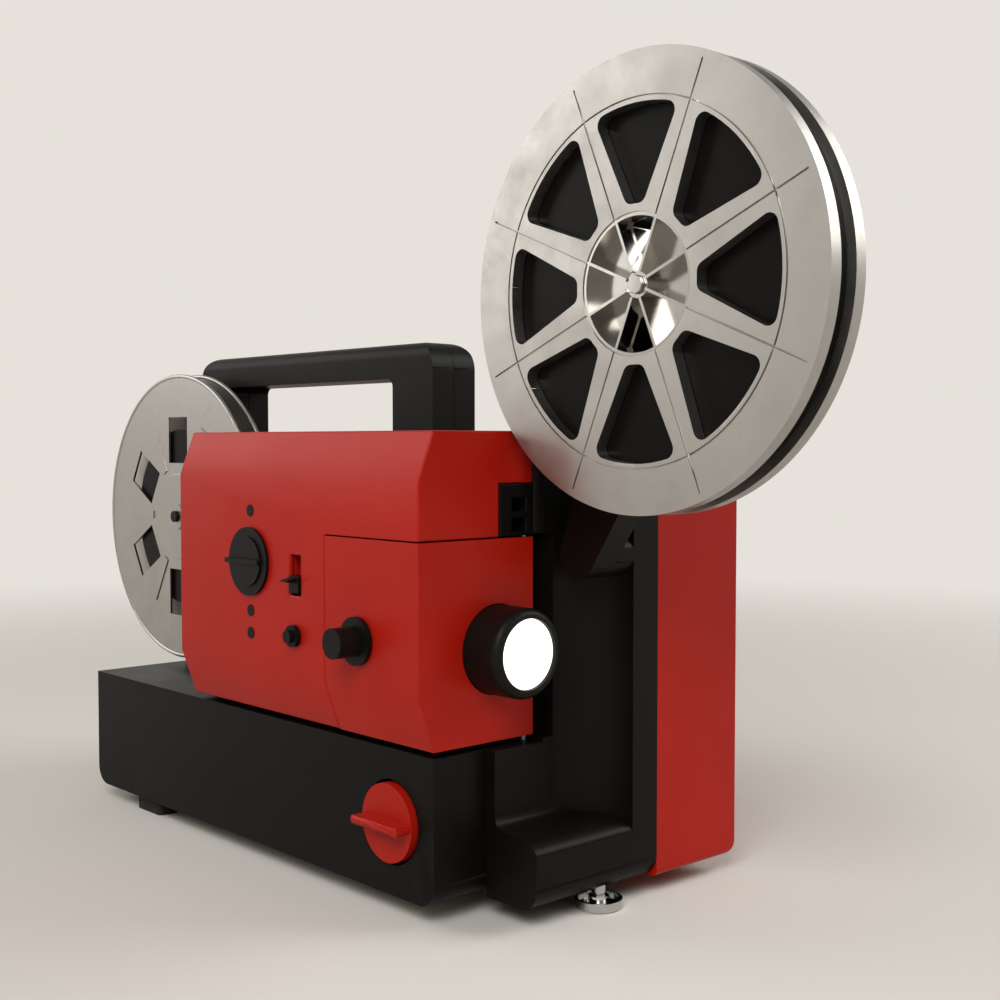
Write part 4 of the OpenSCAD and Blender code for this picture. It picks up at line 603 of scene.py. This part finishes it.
def wound_film(name, spindle):
    """Acetate seen edge on as fine turns round a spindle."""
    made, tree = new_material(name)
    where = add(tree, "ShaderNodeTexCoord").outputs["Object"]
    # The turns are 0.15 mm apart, so they are drawn three times as wide.
    turns = add(tree, "ShaderNodeTexNoise", {
        "W": reach_from(tree, where, spindle), "Scale": 1 / (FILM_TURN_MM * MM), "Detail": 3.0},
        noise_dimensions="1D")
    tint = add(tree, "ShaderNodeMix", {
        "Factor": turns.outputs["Fac"], MIX_A: srgb(FILM_BLACK), MIX_B: srgb(FILM_EDGE)}, data_type="RGBA")
    relief = add(tree, "ShaderNodeBump", {
        "Height": turns.outputs["Fac"], "Strength": 0.25, "Distance": FILM_TURN_DEPTH * MM})
    surface = add(tree, "ShaderNodeBsdfPrincipled", {
        "Base Color": tint.outputs[MIX_OUT], "Roughness": 0.3, "IOR": 1.48,
        "Normal": relief.outputs["Normal"], "Specular IOR Level": 0.08})
    add(tree, "ShaderNodeOutputMaterial", {"Surface": surface.outputs["BSDF"]})
    return made


# The strip is a grid with its hole cells taken out, rolled round the spindle and given its thickness.
strip = bpy.data.node_groups.new("perforated_strip", "GeometryNodeTree")
for name, kind in [
    ("Radius", "NodeSocketFloat"), ("Width", "NodeSocketFloat"), ("Thickness", "NodeSocketFloat"),
    ("Holes", "NodeSocketInt"), ("Middle", "NodeSocketVector"), ("Finish", "NodeSocketMaterial"),
]:
    strip.interface.new_socket(name, in_out="INPUT", socket_type=kind)
strip.interface.new_socket("Geometry", in_out="OUTPUT", socket_type="NodeSocketGeometry")
size = add(strip, "NodeGroupInput").outputs
cells = add(strip, "ShaderNodeMath", {
    0: size["Holes"], 1: float(HOLE_SPLIT), 2: 1.0}, operation="MULTIPLY_ADD")
grid = add(strip, "GeometryNodeMeshGrid", {
    "Size X": 1.0, "Size Y": 1.0, "Vertices X": cells.outputs[0], "Vertices Y": STRIP_ROWS + 1})
# The grid runs from -0.5 to 0.5 both ways, so a half is added to measure along and across it from 0.
spot = add(strip, "ShaderNodeSeparateXYZ", {0: add(strip, "GeometryNodeInputPosition").outputs[0]}).outputs
along = add(strip, "ShaderNodeMath", {0: spot["X"], 1: 0.5}, operation="ADD")
pitches = add(strip, "ShaderNodeMath", {0: along.outputs[0], 1: size["Holes"]}, operation="MULTIPLY")
part = add(strip, "ShaderNodeMath", {0: pitches.outputs[0]}, operation="FRACT")
across = add(strip, "ShaderNodeMath", {0: spot["Y"], 1: 0.5}, operation="ADD")
first = add(strip, "ShaderNodeMath", {0: part.outputs[0], 1: 1 / HOLE_SPLIT}, operation="LESS_THAN")
# A cell is in the hole's row where its middle lies within a quarter of a row from that row's middle.
row = add(strip, "ShaderNodeMath", {
    0: across.outputs[0], 1: (HOLE_ROW + 0.5) / STRIP_ROWS, 2: 0.25 / STRIP_ROWS}, operation="COMPARE")
hole = add(strip, "ShaderNodeMath", {0: first.outputs[0], 1: row.outputs[0]}, operation="MULTIPLY")
open_grid = add(strip, "GeometryNodeDeleteGeometry", {
    "Geometry": grid.outputs["Mesh"], "Selection": hole.outputs[0]}, domain="FACE")
angle = add(strip, "ShaderNodeMath", {0: along.outputs[0], 1: 2 * math.pi}, operation="MULTIPLY")
cosine = add(strip, "ShaderNodeMath", {0: angle.outputs[0]}, operation="COSINE")
sine = add(strip, "ShaderNodeMath", {0: angle.outputs[0]}, operation="SINE")
side = add(strip, "ShaderNodeMath", {0: spot["Y"], 1: size["Width"]}, operation="MULTIPLY")
out_x = add(strip, "ShaderNodeMath", {0: cosine.outputs[0], 1: size["Radius"]}, operation="MULTIPLY")
out_z = add(strip, "ShaderNodeMath", {0: sine.outputs[0], 1: size["Radius"]}, operation="MULTIPLY")
place = add(strip, "ShaderNodeCombineXYZ", {
    "X": out_x.outputs[0], "Y": side.outputs[0], "Z": out_z.outputs[0]})
place = add(strip, "ShaderNodeVectorMath", {0: place.outputs[0], 1: size["Middle"]}, operation="ADD")
rolled = add(strip, "GeometryNodeSetPosition", {
    "Geometry": open_grid.outputs["Geometry"], "Position": place.outputs[0]})
rolled = add(strip, "GeometryNodeMergeByDistance", {
    "Geometry": rolled.outputs["Geometry"], "Distance": STRIP_WELD * MM})
inner = add(strip, "GeometryNodeFlipFaces", {"Mesh": rolled.outputs["Geometry"]})
outer = add(strip, "GeometryNodeExtrudeMesh", {
    "Mesh": inner.outputs["Mesh"], "Offset Scale": size["Thickness"], "Individual": False}, mode="FACES")
under = add(strip, "GeometryNodeFlipFaces", {"Mesh": inner.outputs["Mesh"]})
both = add(strip, "GeometryNodeJoinGeometry", {"Geometry": [outer.outputs["Mesh"], under.outputs["Mesh"]]})
both = add(strip, "GeometryNodeMergeByDistance", {
    "Geometry": both.outputs["Geometry"], "Distance": STRIP_WELD * MM})
real = add(strip, "GeometryNodeRealizeInstances", {"Geometry": both.outputs["Geometry"]})
done = add(strip, "GeometryNodeSetMaterial", {
    "Geometry": real.outputs["Geometry"], "Material": size["Finish"]})
add(strip, "NodeGroupOutput", {"Geometry": done.outputs["Geometry"]})


def grow(name, seeds, tree, sizes):
    """Runs a Geometry Nodes tree on a seed mesh and keeps the result as a plain mesh."""
    piece = bpy.data.objects.new(name, seeds)
    bpy.context.scene.collection.objects.link(piece)
    made = piece.modifiers.new(name, "NODES")
    made.node_group = tree
    for item in tree.interface.items_tree:
        if item.in_out == "INPUT" and item.name in sizes:
            made[item.identifier] = sizes[item.name]
    graph = bpy.context.evaluated_depsgraph_get()
    mesh = bpy.data.meshes.new_from_object(piece.evaluated_get(graph))
    piece.modifiers.clear()
    piece.data = mesh
    return piece


# Acetate stays deep black, and the edges of its turns show as faint rings.
for name, node, spindle in [
    ("supply_roll", "supply_film", supply_spindle_at), ("takeup_roll", "takeup_film", takeup_spindle_at)
]:
    acetate = wound_film("acetate_" + name, spindle)
    dress(name, [node], acetate, edge=0.1)
    lo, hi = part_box(node)
    radius = (hi[0] - lo[0]) / 2
    last_turn = grow(name + "_last_turn", bpy.data.meshes.new(name + "_last_turn"), strip, {
        "Radius": radius, "Width": hi[1] - lo[1], "Thickness": FILM_T * MM,
        "Holes": round(2 * math.pi * radius / (HOLE_PITCH * MM)),
        "Middle": tuple(spindle), "Finish": acetate})
    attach(last_turn, body_of(frame["nodes"][node])[0])

# Screws
# Steel screws with a cross recess close the case: four in the rear cover, two through the handle
# and four under the base. Their heads lie in counterbores.
HEAD_R = 3.5
HEAD_T = 1.6
HEAD_CROWN = 0.4
HEAD_TAPER = 0.82
HEAD_SIDES = 32
RECESS_L = 4.4
RECESS_W = 1.1
RECESS_T = 1.1
heads = bpy.data.node_groups.new("cross_head_screws", "GeometryNodeTree")
for name, kind in [
    ("Geometry", "NodeSocketGeometry"), ("Head Radius", "NodeSocketFloat"),
    ("Head Depth", "NodeSocketFloat"), ("Crown", "NodeSocketFloat"),
    ("Recess Length", "NodeSocketFloat"), ("Recess Width", "NodeSocketFloat"),
    ("Recess Depth", "NodeSocketFloat"), ("Finish", "NodeSocketMaterial"),
]:
    heads.interface.new_socket(name, in_out="INPUT", socket_type=kind)
heads.interface.new_socket("Geometry", in_out="OUTPUT", socket_type="NodeSocketGeometry")
size = add(heads, "NodeGroupInput").outputs
# The top of a head lies on its point, with a tapered crown over a straight barrel.
barrel = add(heads, "GeometryNodeMeshCylinder", {
    "Vertices": HEAD_SIDES, "Radius": size["Head Radius"], "Depth": size["Head Depth"]})
sunk = add(heads, "ShaderNodeMath", {0: size["Head Depth"], 1: -0.5}, operation="MULTIPLY")
sunk = add(heads, "ShaderNodeMath", {0: sunk.outputs[0], 1: size["Crown"]}, operation="SUBTRACT")
down = add(heads, "ShaderNodeCombineXYZ", {"Z": sunk.outputs[0]})
barrel = add(heads, "GeometryNodeTransform", {
    "Geometry": barrel.outputs["Mesh"], "Translation": down.outputs[0]})
top = add(heads, "ShaderNodeMath", {0: size["Head Radius"], 1: HEAD_TAPER}, operation="MULTIPLY")
crown = add(heads, "GeometryNodeMeshCone", {
    "Vertices": HEAD_SIDES, "Radius Top": top.outputs[0], "Radius Bottom": size["Head Radius"],
    "Depth": size["Crown"]})
sunk = add(heads, "ShaderNodeMath", {0: size["Crown"], 1: -1.0}, operation="MULTIPLY")
down = add(heads, "ShaderNodeCombineXYZ", {"Z": sunk.outputs[0]})
crown = add(heads, "GeometryNodeTransform", {
    "Geometry": crown.outputs["Mesh"], "Translation": down.outputs[0]})
head = add(heads, "GeometryNodeMeshBoolean", {
    "Mesh": [barrel.outputs["Geometry"], crown.outputs["Geometry"]]}, operation="UNION")
# The two bars of the cross are centred on the top, so that half of their depth cuts into it.
deep = add(heads, "ShaderNodeMath", {0: size["Recess Depth"], 1: 2.0}, operation="MULTIPLY")
one_way = add(heads, "ShaderNodeCombineXYZ", {
    "X": size["Recess Length"], "Y": size["Recess Width"], "Z": deep.outputs[0]})
other_way = add(heads, "ShaderNodeCombineXYZ", {
    "X": size["Recess Width"], "Y": size["Recess Length"], "Z": deep.outputs[0]})
cut = head.outputs["Mesh"]
for way in (one_way, other_way):
    bar = add(heads, "GeometryNodeMeshCube", {"Size": way.outputs[0]})
    cut = add(heads, "GeometryNodeMeshBoolean", {
        "Mesh 1": cut, "Mesh 2": bar.outputs["Mesh"]}, operation="DIFFERENCE").outputs["Mesh"]
facing = add(heads, "GeometryNodeInputNamedAttribute", {"Name": "facing"}, data_type="FLOAT_VECTOR")
set_in = add(heads, "GeometryNodeInstanceOnPoints", {
    "Points": size["Geometry"], "Instance": cut, "Rotation": facing.outputs["Attribute"]})
real = add(heads, "GeometryNodeRealizeInstances", {"Geometry": set_in.outputs["Instances"]})
done = add(heads, "GeometryNodeSetMaterial", {
    "Geometry": real.outputs["Geometry"], "Material": size["Finish"]})
add(heads, "NodeGroupOutput", {"Geometry": done.outputs["Geometry"]})
solids = bmesh.new()
solids.from_mesh(frame["nodes"]["case_screws"].data)
bmesh.ops.remove_doubles(solids, verts=solids.verts, dist=WELD * MM)
left = set(solids.verts)
places, facings = [], []
while left:
    # One screw is all the corners that edges lead to from its first.
    screw, front = set(), {next(iter(left))}
    while front:
        screw |= front
        front = {e.other_vert(v) for v in front for e in v.link_edges} - screw
    left -= screw
    lo = Vector([min(v.co[k] for v in screw) for k in range(3)])
    hi = Vector([max(v.co[k] for v in screw) for k in range(3)])
    mid = (lo + hi) / 2
    # A screw that runs across the case has its head on the far side, and one that stands has it below.
    if hi.y - lo.y > hi.z - lo.z:
        places.append((mid.x, hi.y, mid.z))
        facings.append((math.radians(-90), 0, 0))
    else:
        places.append((mid.x, mid.y, lo.z))
        facings.append((math.radians(180), 0, 0))
solids.free()
seeds = bpy.data.meshes.new("screw_places")
seeds.from_pydata(places, [], [])
turned = seeds.attributes.new("facing", "FLOAT_VECTOR", "POINT")
for point, way in zip(turned.data, facings):
    point.vector = way
screws = grow("cross_head_screws", seeds, heads, {
    "Head Radius": HEAD_R * MM, "Head Depth": (HEAD_T - HEAD_CROWN) * MM, "Crown": HEAD_CROWN * MM,
    "Recess Length": RECESS_L * MM, "Recess Width": RECESS_W * MM, "Recess Depth": RECESS_T * MM,
    "Finish": zinc})
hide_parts("case_screws")
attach(screws, body_of(frame["nodes"]["case_screws"])[0])

# Feet
# The levelling foot is a chromed cup turned in one piece with its screw, which goes up into the
# nose. The two rear feet are rubber pads stuck under the base and the rear cover.
CHROME = "#D2D2D0"
CHROME_DULL = "#B9B8B5"
FINGER_MM = 8
# Chrome mirrors the floor, dulled in patches by fingers.
chrome = dulled_metal("bright_chrome", CHROME, CHROME_DULL, FINGER_MM, detail=4.0, gloss_range=(0.05, 0.16))
dress("foot_cup", ["levelling_foot"], chrome, edge=0.3)
dress("rubber_pads", ["rear_feet"], rubber, edge=1.0)
